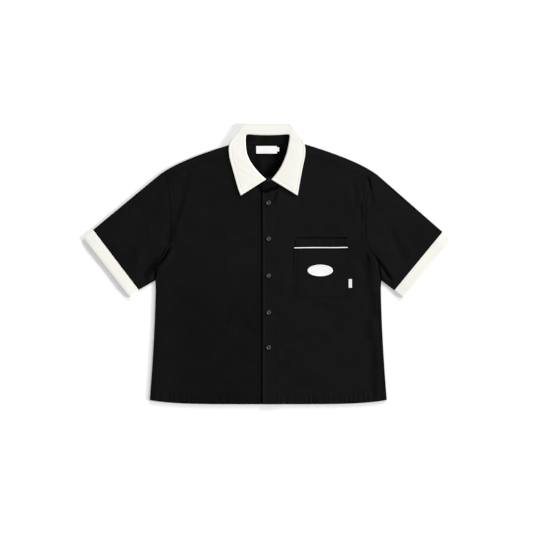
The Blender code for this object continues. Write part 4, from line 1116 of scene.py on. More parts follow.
def sleeve_plan(side):
    """The sleeve in plan at +X, filled in from its four edges: rows from the upper fold to the lower one,
    columns from the armhole to the band."""
    _, _, upper_corner, lower_corner, _, _ = SLEEVES[side]
    head_x = armhole_x(ARMHOLE_TOP_Y) + SEAM / 2
    share = graded((0.045, 0.0070), (0.42, 0.0080), (0.90, 0.0160), (1.0, 0.0100))
    head, head_out = upper_fold(head_x + (upper_corner[0] - SEAM - head_x) * share, side, FOLD_IN)
    arm_y = np.linspace(head[0, 1], ARMPIT_Y + 0.0015, 400)
    arm = np.stack([armhole_x(arm_y) + SEAM / 2, arm_y], 1)
    arm[0] = head[0]
    run = along(arm)
    down = run[-1] * graded((0.04, 0.0050), (0.55, 0.0105), (1.0, 0.0050))
    arm = picked(arm, down)
    low_out = outward([arm[-1], lower_corner])[0]
    low_end = np.array(lower_corner) - FOLD_IN * low_out
    low = arm[-1] + share[:, None] * (low_end - arm[-1])
    rows = (down / down[-1])[:, None, None]
    mouth = head[-1] * (1 - rows[:, 0]) + low[-1] * rows[:, 0]
    across = share[None, :, None]
    plan = (1 - across) * arm[:, None] + across * mouth[:, None] + (1 - rows) * head[None] + rows * low[None]
    corners = (1 - across) * (1 - rows) * arm[0] + across * (1 - rows) * mouth[0]
    plan = plan - corners - (1 - across) * rows * arm[-1] - across * rows * mouth[-1]
    return plan, head_out, np.tile(low_out, (len(share), 1))


def reached(plan, hold):
    """The plan with two columns added at either end, 1.5 and 3 mm further on, less where hold is near 0."""
    first = unit(plan[:, :1] - plan[:, 1:2]) * hold[:, None, None]
    last = unit(plan[:, -1:] - plan[:, -2:-1]) * hold[:, None, None]
    steps = np.array([0.0030, 0.0015])[None, :, None]
    return np.concatenate([plan[:, :1] + first * steps, plan, plan[:, -1:] + last * steps[:, ::-1]], axis=1)


def mouth_gap(x, y, side):
    """Distance inwards from the line where the band is sewn to the sleeve's end."""
    _, _, upper, lower, _, _ = SLEEVES[side]
    run = np.array(lower) - np.array(upper)
    return -((x - upper[0]) * -run[1] + (y - upper[1]) * run[0]) / np.hypot(*run)


def sleeve_height(x, y, side):
    """Middle of the sleeve's upper ply, at unsigned places: it sinks under the armhole seam and its band."""
    sign = SLEEVES[side][1]
    to_mouth = mouth_gap(x, y, side)
    sunk = smooth((0.030 - to_mouth) / 0.030)
    height = lay(x * sign, y) * (1 - sunk) + SLEEVE_END_MID * sunk
    height = height + tucked(-armhole_gap(x, y)) + tucked(to_mouth)
    near = bell((armhole_gap(x, y) + 0.005) / 0.006)
    height = height + 0.00022 * ripple(y * 1.1, 8.0 + sign) * near
    height = height + 0.00016 * ripple(y * 1.2, 9.0 + sign) * bell((to_mouth - 0.004) / 0.005)
    return np.maximum(height, SLEEVE_LEAST_MID)


def sleeve(side):
    """A sleeve: its plan reached under the seams, its upper ply eased to both folds, a tube round them."""
    name, sign = SLEEVES[side][:2]
    plan, head_out, low_out = sleeve_plan(side)
    run = np.linspace(0.0, 1.0, len(plan))
    hold = smooth(run / 0.05) * smooth((1 - run) / 0.05)
    upper, lower = reached(plan, np.maximum(hold, 0.02)), reached(plan, np.full(len(plan), 0.02))
    top = sleeve_height(upper[..., 0], upper[..., 1], side)
    edge = np.minimum(1.0, np.minimum(np.arange(len(plan)), np.arange(len(plan))[::-1]) / 2.0)[:, None]
    top = top * edge + EDGE_MID * (1 - edge)
    head_out = np.vstack([head_out[:1], head_out[:1], head_out, head_out[-1:], head_out[-1:]])
    low_out = np.vstack([low_out[:2], low_out, low_out[:2]])
    points = tube_points(upper, lower, head_out, low_out, top, FLOOR_MID, 8, 3) * (sign, 1, 1)
    lean = math.atan2(*(np.array(SLEEVES[side][4]) - np.array(SLEEVES[side][2]))) * -sign
    cut = points[..., :2] @ np.array([[math.cos(lean), math.sin(lean)], [-math.sin(lean), math.cos(lean)]])
    tube = shell(f"sleeve_{name}_tube", points, PLY, uv=cut, ring=True)
    return piece(tube, BLACK_TWILL, f"sleeve_{name}")


for which in (0, 1):
    made = sleeve(which)
    deepened(made, cloth_shade_and_tone)

# --- Sleeve bands ---------------------------------------------------------------------------------
# Bands of cream twill, doubled and sewn round the sleeves' ends, 28 mm deep. Their folded edge is the
# sleeve's opening, and a row of stitches runs just inside the seam.

BAND_WALL = 0.0011
BAND_MID = BAND_WALL / 2
BAND_FOLD = 0.00125
BAND_STITCH_IN = 0.0022
BAND_STITCH = (0.0028, 0.0020)      # pitch and length
CREAM = (0.842, 0.827, 0.774)
CREAM_TWILL = (
    twill("cream_twill", CREAM, 0.80, 0.12, 0.02, rib=0.0009, depth=0.00006, mottle=0.015, handled=0.0002),
    "cream_twill",
)


def band_line(side, share):
    """Points of the band in plan at +X, from the seam to the folded edge, at shares from the upper fold
    down."""
    _, _, upper_in, lower_in, upper_out, lower_out = SLEEVES[side]
    corners = np.array([upper_in, lower_in, upper_out, lower_out])
    down = unit(corners[1] - corners[0])
    inset = BAND_FOLD + BAND_WALL / 2
    start, end = corners[[0, 2]] + down * inset, corners[[1, 3]] - down * inset
    return start[None] * (1 - share[:, None, None]) + end[None] * share[:, None, None], down


def band_height(deep, share, side):
    """Middle of the band's upper layer: a low crown along it, its seam stitched down, its fold rounded."""
    crown = smooth(share / 0.16) * smooth((1 - share) / 0.16)
    height = BAND_MID + 2 * BAND_FOLD + crown * (0.00075 + 0.00022 * np.sin(9.0 * share + side * 2.0))
    height = height - 0.00022 * crown * bell((deep - BAND_STITCH_IN) / 0.0009)
    height = height + 0.00012 * crown * ripple(share * 0.19, 11.0 + side) * bell(deep / 0.007)
    return height - 0.00025 * smooth((deep - 0.0255) / 0.003)


def band(side):
    """A band: rows from its upper fold down, columns from its seam to its folded edge, a tube round them."""
    name, sign = SLEEVES[side][:2]
    share = np.concatenate([[0.0, 0.012, 0.03], np.linspace(0.05, 0.95, 58), [0.97, 0.988, 1.0]])
    ends, down = band_line(side, share)
    depth = float(np.linalg.norm(ends[0, 1] - ends[0, 0]))
    deep = graded((0.0050, 0.0008), (0.0240, 0.0019), (depth, 0.0009))
    plan = ends[:, :1] + (ends[:, 1:] - ends[:, :1]) * (deep / depth)[None, :, None]
    top = band_height(deep[None], share[:, None], side)
    out = np.tile(-down, (len(deep), 1))
    points = tube_points(plan, plan, out, -out, top, BAND_MID, 8, 4) * (sign, 1, 1)
    cut = np.stack([points[..., :2] @ (down * (sign, 1)), points[..., :2] @ (down[::-1] * (-sign, 1))], -1)
    tube = shell(f"cuff_{name}_band", points, BAND_WALL, uv=cut, ring=True)
    return piece(tube, CREAM_TWILL, f"cuff_{name}")


def band_stitches(side):
    """A band's row of stitches, at one depth from its seam."""
    name, sign = SLEEVES[side][:2]
    share = np.linspace(0.025, 0.975, 120)
    ends, _ = band_line(side, share)
    plan = ends[:, 0] + BAND_STITCH_IN * unit(ends[:, 1] - ends[:, 0])
    line = lifted(plan, band_height(BAND_STITCH_IN, share, side) + BAND_WALL / 2) * (sign, 1, 1)
    return stitched(f"cuff_{name}_stitches", [line], CREAM_THREAD, *BAND_STITCH)


CREAM_THREAD = (finish("cream_thread", (0.80, 0.78, 0.71), 0.60, 0.30)[0], "cream_twill")
for which in (0, 1):
    made = band(which)
    sewn = band_stitches(which)

# --- Collar stand ---------------------------------------------------------------------------------
# A band of black twill round the neck that carries the collar leaf. Its ends lap and button in front, it
# folds at both sides of the neck, and its inside shows behind, with two rows of stitches over the neck seam.

STAND_WALL = 0.0012
STAND_TOP = (0.0565, 0.1025, 0.320)
BACK_STAND_TOP_Y = 0.3232
BACK_STAND_TOP_MID = 0.0053

# Middle heights of the stand's lower and upper edges: at its ends in front, and over and under its side fold
OVER_END_MID = (0.00515, 0.00500)
UNDER_END_MID = (UNDER_MID + 0.0002, 0.0026)
SIDE_OVER_MID = (EDGE_MID + 0.0004, 0.0054)
SIDE_UNDER_MID = (YOKE_WALL + 0.0008, 0.0040)
STAND_ANGLES = np.append(np.radians([0, 12, 24, 36, 47, 58, 68]), NECK_END)


def stand_half(edge, lower, under):
    """One edge line of the stand, from its end in front round the side fold to the middle of the back: part
    of an ellipse, a small arc at the side, and a nearly straight back."""
    theta = np.linspace(-math.asin(edge / NECK_SEAM[0]), math.pi / 2, 84)
    ellipse, more = (NECK_SEAM, 0.0010) if lower else (STAND_TOP, 0.0)
    front = neck_ring(theta, ellipse, more)
    if lower and not under:
        front[:, 1] += stand_askew(front[:, 0])
    side = neck_ring(math.pi / 2, ellipse, -SEAM / 2 if lower else 0.0)
    turn = np.interp(theta, np.insert(STAND_ANGLES, 0, theta[0]), np.linspace(0.0, 1.0, 9))
    which = 0 if lower else 1
    top, low = SIDE_OVER_MID[which], SIDE_UNDER_MID[which]
    start = (UNDER_END_MID if under else OVER_END_MID)[which]
    height = start + (top - start) * smooth(turn * 1.3 - (0.25 if under else 0.2))
    arc = fold_arc(side[None], np.array([[0.67, 0.74]]), np.array([top]), np.array([low]), 8)[:, 0]
    x = side[0] * np.linspace(0.985, 0.0, 44)
    if lower:
        y = back_neck_y(x) - 0.0008
    else:
        y = BACK_STAND_TOP_Y + (side[1] - BACK_STAND_TOP_Y) * smooth((x / side[0] - 0.80) / 0.20)
    share = np.linspace(0.0, 1.0, 44)
    behind = low + ((low - 0.0002 if lower else BACK_STAND_TOP_MID) - low) * smooth(share * 1.2)
    return np.vstack([lifted(front, height), arc, raised(x, y, behind)])


def stand_points():
    """Rows from the lower edge line to the upper one. Both have the under end, the back and the over end."""
    lines = []
    for lower in (True, False):
        under = stand_half(-RIGHT_EDGE[1], lower, True) * (-1, 1, 1)
        over = stand_half(-LEFT_EDGE[1], lower, False)
        lines.append(np.vstack([under, over[-2::-1]]))
    low, high = lines
    share = graded((0.10, 0.035), (0.16, 0.020), (0.90, 0.075), (1.0, 0.035))[:, None, None]
    points = low[None] * (1 - share) + high[None] * share
    share = share[..., 0]
    points[..., 2] -= 0.00020 * (bell((share - 0.14) / 0.03) + 0.8 * bell((share - 0.62) / 0.03))
    behind = smooth((points[..., 1] - 0.290) / 0.006)
    points[..., 2] += 0.00025 * behind * ripple(points[..., 0] * 0.5 + 0.02 * share, 6.0) * share
    corner = smooth(1 - np.arange(points.shape[1])[::-1] / 5.0) * smooth((share - 0.55) / 0.45)
    points[..., 0] += 0.0030 * corner
    return points


def stand_painted_shade(x, y):
    """Painted shade on the stand: in front a painted shadow under the collar's points, behind along its rows
    of stitches, its lower edge and towards its ends, with two painted pale patches.
    """
    past = np.maximum(neck_gap(np.abs(x), y - stand_askew(x)) + 0.0075, 1e-6)
    front = 0.22 + 0.70 * np.exp(-((past / 0.0034) ** -2))
    rows = 0.35 * bell((y - 0.3105) / 0.0010) + 0.30 * bell((y - 0.3035) / 0.0010)
    ends = 0.58 * smooth((x - 0.030) / 0.016) + 0.35 * smooth((-x - 0.040) / 0.014)
    ends = ends + 0.22 * ripple(x * 0.30, 2.0)
    paler = 1 + 0.30 * bell((x + 0.026) / 0.020) + 0.80 * soft_spot(x, y, (-0.044, 0.3015), (0.012, 0.0035))
    behind = 1 - (1 - rows) * (1 - ends) * (1 - 0.5 * bell((y - 0.2985) / 0.0012)) * paler
    return np.where(y < 0.26, np.clip(front, 0.0, 0.88), behind)


stand_grid = stand_points()
stand = piece(shell("collar_stand_band", stand_grid, STAND_WALL), BLACK_TWILL, "collar_stand")
deepened(stand, stand_painted_shade)
lines = []
for row in (stand_grid[3], stand_grid[11]):
    behind = (row[:, 1] > 0.296) & (np.abs(row[:, 0]) < 0.062)
    lines.append(row[behind] + (0.0, 0.0, STAND_WALL / 2))
stand_stitches = stitched("stand_stitches", lines, BLACK_THREAD, *BAND_STITCH)

# --- Collar leaf ----------------------------------------------------------------------------------
# The turned-down collar of cream twill, two layers over an interlining, with two long points. It is sewn to
# the stand's upper edge, folds under behind the neck, lies on the fronts, and is stitched 6 mm from its edge.

LEAF_WALL = 0.0014
LEAF_FOLD_MID = 0.0066
LEAF_STITCH_IN = 0.0058
LEAF_ROLL = 0.0016          # radius of the roll over the stand

# The leaf's sections from the middle of the back to the front edge, in millimetres
#    inner x  inner y  mid  askew   outer x  outer y  askew  tucked under
LEAF_SECTIONS = np.array((
    (0.0, 322.0, 7.0, -2.0, 0.0, 352.0, -2.2, 37.0),
    (27.0, 322.6, 7.0, -2.0, 29.0, 352.0, -2.0, 37.0),
    (49.8, 324.6, 7.0, -1.9, 58.8, 352.4, -1.9, 36.0),
    (54.4, 323.4, 7.0, -1.8, 66.8, 340.8, -1.8, 24.0),
    (55.4, 319.6, 7.1, -1.7, 78.6, 323.6, -1.8, 10.0),
    (55.4, 314.0, 7.1, -1.9, 89.3, 307.4, -2.1, 3.0),
    (55.2, 311.0, 7.1, -2.1, 90.2, 306.0, -2.3, 0.0),
    (54.8, 304.0, 7.1, -2.8, 94.6, 296.5, -3.5, 0.0),
    (53.4, 293.0, 7.1, -3.5, 95.4, 284.0, -2.9, 0.0),
    (50.4, 276.0, 7.0, -4.2, 93.7, 266.0, -2.9, 0.0),
    (43.2, 258.0, 6.8, -3.9, 86.6, 237.5, -2.2, 0.0),
    (33.0, 240.0, 6.7, -2.0, 80.2, 210.0, -0.9, 0.0),
    (21.2, 225.0, 6.6, -0.6, 75.0, 187.0, 0.3, 0.0),
    (7.2, 211.2, 6.6, 1.2, 70.6, 171.6, 2.0, 0.0),
)) * MM


def softened(line, passes):
    """A line with its corners eased: its inner points move half way to the mean of their neighbours, again
    and again."""
    line = np.array(line, float)
    for _ in range(passes):
        line[1:-1] = 0.25 * line[:-2] + 0.5 * line[1:-1] + 0.25 * line[2:]
    return line


def leaf_sections():
    """Sections of the whole leaf from its right front edge to its left one, closer together near both: inner
    and outer plan points, inner and outer heights, the depth tucked under, and the distance along the outer
    edge."""
    halves = []
    for sign in (-1, 1):
        in_x, in_y, mid, in_askew, out_x, out_y, out_askew, tuck = LEAF_SECTIONS.T
        rest = over_lap(level(out_x * sign, np.minimum(out_y, 0.295)), out_x, out_y) + PLY / 2 + LEAF_WALL / 2
        rest = rest + (0.0009 if sign > 0 else 0.0013)
        mid = mid - (0.0004 if sign > 0 else 0.0005) * smooth((0.300 - in_y) / 0.03)
        rest = np.where(tuck > 0.010, LEAF_FOLD_MID, rest + 0.0006 * (tuck > 0))
        inner_x, outer_x = in_x * sign + in_askew, out_x * sign + out_askew
        halves.append(np.stack([inner_x, in_y, mid, outer_x, out_y, rest, tuck], 1))
    table = np.vstack([halves[0][:0:-1], halves[1]])
    run = along(table[:, 3:5])
    edge = graded((0.0066, 0.0008), (0.0140, 0.0018))
    at = np.concatenate([edge, np.linspace(edge[-1], run[-1] - edge[-1], 210)[1:-1], run[-1] - edge[::-1]])
    dense = read(at, run, table)
    eased = softened(dense, 10)
    eased[:, :2] = softened(dense[:, :2], 15)
    ends = np.minimum(at, at[-1] - at)[:, None]
    keep = 1 - smooth(ends / 0.012)
    eased = eased * (1 - keep) + dense * keep
    eased[:, 6] = dense[:, 6]
    return eased[:, :2], eased[:, 3:5], eased[:, 2], eased[:, 5], eased[:, 6], at


def leaf_points():
    """Each section rolls down over the stand at its inner edge, crosses to its outer edge in a low crown, and
    behind the neck turns under round a fold. Its stitches draw it in all along the edge."""
    inner, outer, inner_mid, outer_mid, tuck, at = leaf_sections()
    run = unit(outer - inner)
    turned = smooth(tuck / 0.010)
    radius = (outer_mid - LEAF_WALL / 2) / 2
    edge = outer - run * ((radius + LEAF_WALL / 2) * turned)[:, None]
    length = np.linalg.norm(edge - inner, axis=1)[:, None]
    near = graded((0.0068, 0.0008), (0.0100, 0.0016))[::-1][None]
    share = np.linspace(1.0, 0.0, 27)[:-1][None]
    middle = near[0, 0] + (length - LEAF_ROLL - near[0, 0]) * share
    from_outer = np.hstack([middle, np.broadcast_to(near, (len(at), near.size))])
    q = from_outer / length
    plan = edge[:, None] - run[:, None] * from_outer[..., None]
    height = outer_mid[:, None] + (inner_mid - outer_mid)[:, None] * q**1.35
    height = height + 0.0002 * np.sin(math.pi * q)
    end = np.minimum(at, at[-1] - at)[:, None]
    flat_edge = (1 - turned)[:, None]
    to_edge = np.minimum(np.where(flat_edge > 0.5, from_outer, 1.0), end)
    height = height - 0.00025 * bell((to_edge - LEAF_STITCH_IN) / 0.0010)
    height = height + 0.00012 * bell((to_edge - 0.0030) / 0.0022)
    wavy = ripple(at[:, None] * 0.28 + 0.03 * q, 3.3)
    height = height + 0.00006 * wavy * smooth(q * 4) * smooth((1 - q) * 4)
    height = height + 0.0009 * bell(end / 0.016) * bell(from_outer / 0.016)
    free = smooth((inner[:, 1:] - 0.2230) / 0.014) * smooth((0.3200 - inner[:, 1:]) / 0.004)
    roll_angle = math.pi * (0.5 + 0.36 * free) * np.linspace(1.0, 0.0, 8)[None, :-1]
    roll_plan = inner[:, None] + run[:, None] * (LEAF_ROLL * (1 - np.sin(roll_angle)))[..., None]
    roll_height = height[:, :1] - LEAF_ROLL + LEAF_ROLL * np.cos(roll_angle)
    turn = np.linspace(0.0, math.pi, 10)[1:-1][None] * turned[:, None]
    arc_plan = edge[:, None] + run[:, None] * (radius[:, None] * np.sin(turn))[..., None]
    arc_height = (outer_mid - radius)[:, None] + radius[:, None] * np.cos(turn)
    last = turned * math.pi
    foot = edge + run * (radius * np.sin(last))[:, None]
    back = np.linspace(0.0, 1.0, 7)[None] * tuck[:, None]
    back_plan = foot[:, None] - run[:, None] * back[..., None]
    back_height = np.broadcast_to((outer_mid - radius + radius * np.cos(last))[:, None], back.shape)
    under = np.concatenate([lifted(arc_plan, arc_height), lifted(back_plan, back_height)], axis=1)
    under[tuck < 0.0008] = np.nan
    return np.concatenate([lifted(roll_plan, roll_height), lifted(plan, height), under], axis=1)


def leaf_painted_light_and_shade(x, y):
    """Painted light and shade on the cream: the right wing's upper part paler and the left one's darker,
    evening out how the light falls on their slopes, and painted shade along the fold behind the neck."""
    high = smooth((y - 0.255) / 0.055)
    fold = 0.12 * smooth((y - 0.3445) / 0.0045) * smooth((0.066 - np.abs(x + 0.003)) / 0.006)
    return high * (0.085 * smooth((x - 0.044) / 0.012) - 0.10 * smooth((-x - 0.058) / 0.008)) + fold


leaf_grid = leaf_points()
leaf_cut = np.zeros((*leaf_grid.shape[:2], 2))
leaf_cut[..., 0] = along(leaf_grid[:, 8, :2])[:, None]
leaf_step = np.linalg.norm(np.diff(leaf_grid, axis=1), axis=2)
leaf_cut[:, 1:, 1] = np.cumsum(np.nan_to_num(leaf_step), axis=1)
leaf = piece(shell("collar_leaf_cloth", leaf_grid, LEAF_WALL, uv=leaf_cut), CREAM_TWILL, "collar_leaf")
deepened(leaf, leaf_painted_light_and_shade)
edge_lines = []
for rows in (slice(7, 66), slice(-8, -67, -1)):
    front_edge = leaf_grid[rows.start, 12:36]
    edge_lines.append(np.vstack([front_edge, leaf_grid[rows, 36]]) + (0.0, 0.0, LEAF_WALL / 2))
leaf_stitches = stitched("collar_leaf_stitches", edge_lines, CREAM_THREAD, pitch=0.0027, length=0.0019)

# --- Chest pocket ---------------------------------------------------------------------------------
# A patch pocket of black twill on the left front. White piping is sewn between its body and the band along
# its mouth, an oval patch is sewn on it, and a folded ribbon flag is caught in its side seam.

POCKET = (0.0640, 0.2005, -0.0825, 0.0390)       # x from, x to, y from, y to
POCKET_BAND = (0.0685, 0.1975, 0.0434, 0.0668)
PIPING_Y = 0.0407
PIPING_RADIUS = 0.00115
PIPING_SPAN = (0.0644, 0.1980)
PATCH_CENTRE = (0.12925, -0.01625)
PATCH_SIZE = (0.0628, 0.0283)
FLAG = (0.2009, 0.2086, -0.0592, -0.0380)
POCKET_ROWS = (0.0018, 0.0075)                   # its two rows of stitches, from its edge
POCKET_SUNK = 0.00012                            # how far the pocket and its band sit in the front's ply
BAND_CORNER = 0.009                              # from the band's end to its cross row of stitches
PIPING_TIP = 0.0016


def rounded_plan(box, corner, across, up):
    """A box in plan with rounded corners: each row is as wide as the box less what its corners take."""
    x0, x1, y0, y1 = box
    y = y0 + (y1 - y0) * up[:, None]
    into = np.maximum(0.0, corner - np.minimum(y - y0, y1 - y))
    half = (x1 - x0) / 2 - (corner - np.sqrt(np.maximum(corner**2 - into**2, 0.0)))
    x = (x0 + x1) / 2 + half * (2 * across - 1)[None]
    return np.stack([x, np.broadcast_to(y, x.shape)], -1)


def edged(length, near, fine, coarse):
    """Shares of a length, with fine steps within a distance of either end and coarse ones between."""
    return graded((near, fine), (length - near, coarse), (length, fine)) / length


def sides_inset(x, box, end):
    """Distance inwards from the nearest of a box's two sides and an end, the distance from which is given."""
    return np.minimum(np.minimum(x - box[0], box[1] - x), end)


def front_top(x, y):
    """Upper face of the left front."""
    return left_height(x, y) + PLY / 2


def slab(name, plan, top, bottom):
    """A piece between two heights over one grid of plan points."""
    upper, lower = lifted(plan, top), lifted(plan, bottom)
    quads, row, column = grid_quads(upper, False)
    return closed(name, upper.reshape(-1, 3), lower.reshape(-1, 3), quads, plan[row, column])


def pocket_top(x, y):
    """Upper face of the pocket's body: a little full, turned in at its edges, stitched twice along three."""
    inset = sides_inset(x, POCKET, y - POCKET[2])
    thin = 1 - 0.35 * smooth((0.074 - x) / 0.010) - 0.35 * smooth((-0.008 - y) / 0.02)
    rise = 0.00085 * thin + 0.00060 * smooth((inset - 0.004) / 0.030)
    for row in POCKET_ROWS:
        rise = rise - 0.00015 * bell((inset - row) / 0.0010)
    rise = rise + 0.00016 * ripple((x + y) * 0.9, 5.5) * bell((inset - 0.005) / 0.006)
    for place, half, height in ((0.0735, 0.0035, -0.00035), (0.0815, 0.006, 0.00035)):
        rise = rise + height * bell((x - place) / half) * smooth((0.036 - y) / 0.02) * 0.5
    return front_top(x, y) + rise


steps_across, steps_up = edged(0.1365, 0.009, 0.0008, 0.0026), edged(0.1215, 0.009, 0.0008, 0.0026)
plan = rounded_plan(POCKET, 0.0030, steps_across, steps_up)
x, y = plan[..., 0], plan[..., 1]
pocket_slab = slab("pocket_body", plan, pocket_top(x, y), front_top(x, y) + POCKET_SUNK)
pocket = piece(pocket_slab, BLACK_TWILL, "pocket")
lines = []
for inset in POCKET_ROWS:
    x0, x1, y0, y1 = POCKET[0] + inset, POCKET[1] - inset, POCKET[2] + inset, POCKET[3] - 0.001
    low = y0 + 0.002
    turn = np.array([(x0, y1), (x0, low), (x0 + 0.002, y0), (x1 - 0.002, y0), (x1, low), (x1, y1)])
    row = picked(turn, np.arange(0.0, along(turn)[-1], 0.001))
    lines.append(lifted(row, pocket_top(row[:, 0], row[:, 1])))


def pocket_shade_and_tone(x, y):
    """Painted shade on the pocket, with the cloth's tone: along its edges and rows of stitches, in the crease
    at its left, and a painted shadow under the piping.
    """
    inset = sides_inset(x, POCKET, y - POCKET[2])
    shade = (0.02 + 0.24 * smooth((y + 0.012) / 0.02)) * bell(inset / 0.0011)
    shade = shade + (0.03 + 0.09 * ripple(x + y, 4.0)) * bell((inset - 0.0075) / 0.0013)
    fold = 0.10 * bell((x - 0.0715) / 0.0030) * smooth((0.036 - y) / 0.02)
    return layered(tone_by_place(x, y), shade, fold, 0.5 * bell((y - 0.0375) / 0.0022))


deepened(pocket, pocket_shade_and_tone)
pocket_stitches = stitched("pocket_stitches", lines, BLACK_THREAD, *BAND_STITCH)


def band_top(x, y):
    """Upper face of the pocket's band: flat, stitched close to its upper edge and its ends."""
    box = POCKET_BAND
    inset = sides_inset(x, box, box[3] - y)
    rise = 0.00125 - 0.00035 * bell(inset / 0.0011) - 0.00030 * bell((inset - 0.0032) / 0.0009)
    low = bell((y - box[2] - 0.0022) / 0.0011)
    rise = rise - 0.00025 * low + 0.00020 * ripple(x * 0.8, 2.2) * bell((y - box[2]) / 0.010)
    rise = rise + 0.00018 * ripple(x * 0.6, 12.0)
    return front_top(x, y) + rise - 0.0004 * bell((x - box[1] + BAND_CORNER) / 0.0012)


steps_across, steps_up = edged(0.129, 0.010, 0.0008, 0.0022), edged(0.0234, 0.0045, 0.0006, 0.0014)
plan = rounded_plan(POCKET_BAND, 0.0012, steps_across, steps_up)
x, y = plan[..., 0], plan[..., 1]
band_slab = slab("pocket_band_strip", plan, band_top(x, y), front_top(x, y) + POCKET_SUNK)
pocket_band = piece(band_slab, BLACK_TWILL, "pocket_band")
x0, x1 = POCKET_BAND[0] + 0.0032, POCKET_BAND[1] - BAND_CORNER
y0, y1 = POCKET_BAND[2] + 0.0010, POCKET_BAND[3] - 0.0032
turn = np.array([(x0, y0), (x0, y1), (x1 + 0.0058, y1), (x1 + 0.0058, y0)])
row = picked(turn, np.arange(0.0, along(turn)[-1], 0.001))
cross = picked(np.array([(x1, y0), (x1, y1)]), np.arange(0.0, y1 - y0, 0.001))
lines = [lifted(k, band_top(k[:, 0], k[:, 1])) for k in (row, cross)]


def band_shade_and_tone(x, y):
    """Painted shade on the pocket's band, with the cloth's tone: round its edges and darkest along its top,
    along its stitches, at its lower edge over the piping, and in soft patches along it.
    """
    inset = sides_inset(x, POCKET_BAND, POCKET_BAND[3] - y)
    top_edge = 0.75 * bell((POCKET_BAND[3] - 0.0008 - y) / 0.0026)
    shade = top_edge + 0.25 * bell(inset / 0.0013) * (1 - top_edge) + 0.10 * bell((inset - 0.0036) / 0.0011)
    shade = shade + 0.40 * bell((x - POCKET_BAND[1] + BAND_CORNER) / 0.0014) + 0.12 * ripple(x * 0.5, 12.0)
    shade = np.clip(shade + 0.40 * bell((y - POCKET_BAND[2]) / 0.0022), -0.3, 0.9)
    return layered(tone_by_place(x, y), shade)


deepened(pocket_band, band_shade_and_tone)
band_sewing = stitched("pocket_band_stitches", lines, BLACK_THREAD, *BAND_STITCH)

# The piping: a round bias strip, its ends rounded off, bowed a little and swelling from place to place
WHITE = (0.885, 0.885, 0.872)
WHITE_TWILL = (
    twill("white_piping", WHITE, 0.72, 0.15, 0.02, rib=0.0006, depth=0.00006, mottle=0.015), "white_trim"
)
x = PIPING_SPAN[0] + (PIPING_SPAN[1] - PIPING_SPAN[0]) * edged(0.1352, PIPING_TIP, 0.0002, 0.0016)
reach = np.minimum(x - PIPING_SPAN[0], PIPING_SPAN[1] - x)
tip = np.sqrt(np.maximum(1 - np.maximum(0.0, 1 - reach / PIPING_TIP) ** 2, 0.02))[None]
around = np.radians(np.linspace(-84.0, 84.0, 17))[:, None]
bend = (0.00025 * np.sin((x - PIPING_SPAN[0]) * 46.0) + 0.009 * (x - np.mean(PIPING_SPAN)))[None]
piping_y = PIPING_Y + bend + PIPING_RADIUS * np.sin(around) * tip
plan = np.stack([np.broadcast_to(x, piping_y.shape), piping_y], -1)
centre = (front_top(x, np.full(len(x), PIPING_Y)) + 0.0002)[None] + PIPING_RADIUS * 0.97
swell = 1 + 0.03 * ripple(x * 0.5, 1.4)[None]
round_up = PIPING_RADIUS * np.cos(around) * tip * swell
piping_slab = slab("pocket_piping_cord", plan, centre + round_up, centre - round_up * 0.97)
piping = piece(piping_slab, WHITE_TWILL, "pocket_piping")


# The patch: an oval of white satin with a whipped rim
def satin(name, colour, pitch, slant):
    """Satin-stitched ground: close parallel threads as a band wave, broken up by stretched noise."""
    made, shader, add, plug, tint = finish(name, colour, 0.55, 0.30)
    shader.inputs["Sheen Weight"].default_value = 0.05
    cut = add("UVMap")
    cut.uv_map = "cut"
    turned = add("Mapping", Vector=cut.outputs["UV"], Rotation=(0.0, 0.0, math.radians(slant)))
    threads = add("TexWave", Vector=turned.outputs[0], Scale=WAVE / pitch, Distortion=0.4, Detail=1.0)
    stretched = add("Mapping", Vector=turned.outputs[0], Scale=(1500.0, 190.0, 1.0))
    rows = add("TexNoise", Vector=stretched.outputs[0], Scale=1.0, Detail=1.0)
    height = maths(add, "ADD", threads.outputs["Fac"], rows.outputs["Fac"])
    bump = add("Bump", Strength=0.45, Distance=0.00008, Height=height)
    plug(bump.outputs[0], "Normal")
    spread = add("MapRange", Value=height, From_Min=0.3, From_Max=1.7, To_Min=0.975, To_Max=1.01)
    tint(spread.outputs[0])
    return made


WHITE_SATIN = (satin("white_satin", (0.885, 0.885, 0.88), 0.00045, 90.0), "white_trim")


def oval_plan(centre, size, count):
    """An oval in plan filled by a square's grid, whose rows and columns bend to its edge, with no pole."""
    u = np.sin(np.linspace(-1.0, 1.0, count) * math.pi / 2)
    across, up = np.meshgrid(u, u)
    x = centre[0] + size[0] / 2 * across * np.sqrt(1 - up**2 / 2)
    y = centre[1] + size[1] / 2 * up * np.sqrt(1 - across**2 / 2)
    return np.stack([x, y], -1)


plan = oval_plan(PATCH_CENTRE, PATCH_SIZE, 84)
x, y = plan[..., 0], plan[..., 1]
across, up = (x - PATCH_CENTRE[0]) / (PATCH_SIZE[0] / 2), (y - PATCH_CENTRE[1]) / (PATCH_SIZE[1] / 2)
to_rim = (1 - np.hypot(across, up)) * PATCH_SIZE[1] / 2 * (1.0 + 0.35 * np.abs(across))
whip = np.arctan2(up, across)
bead = bell((to_rim - 0.0013) / 0.0011) * (0.00045 + 0.00007 * np.sin(whip * 150 + to_rim * 900))
rise = 0.0010 + bead - 0.0005 * bell(to_rim / 0.0006) + 0.00010 * smooth((to_rim - 0.003) / 0.006)
patch_slab = slab("pocket_patch_oval", plan, pocket_top(x, y) + rise, pocket_top(x, y) + 0.00010)
patch = piece(patch_slab, WHITE_SATIN, "pocket_patch")

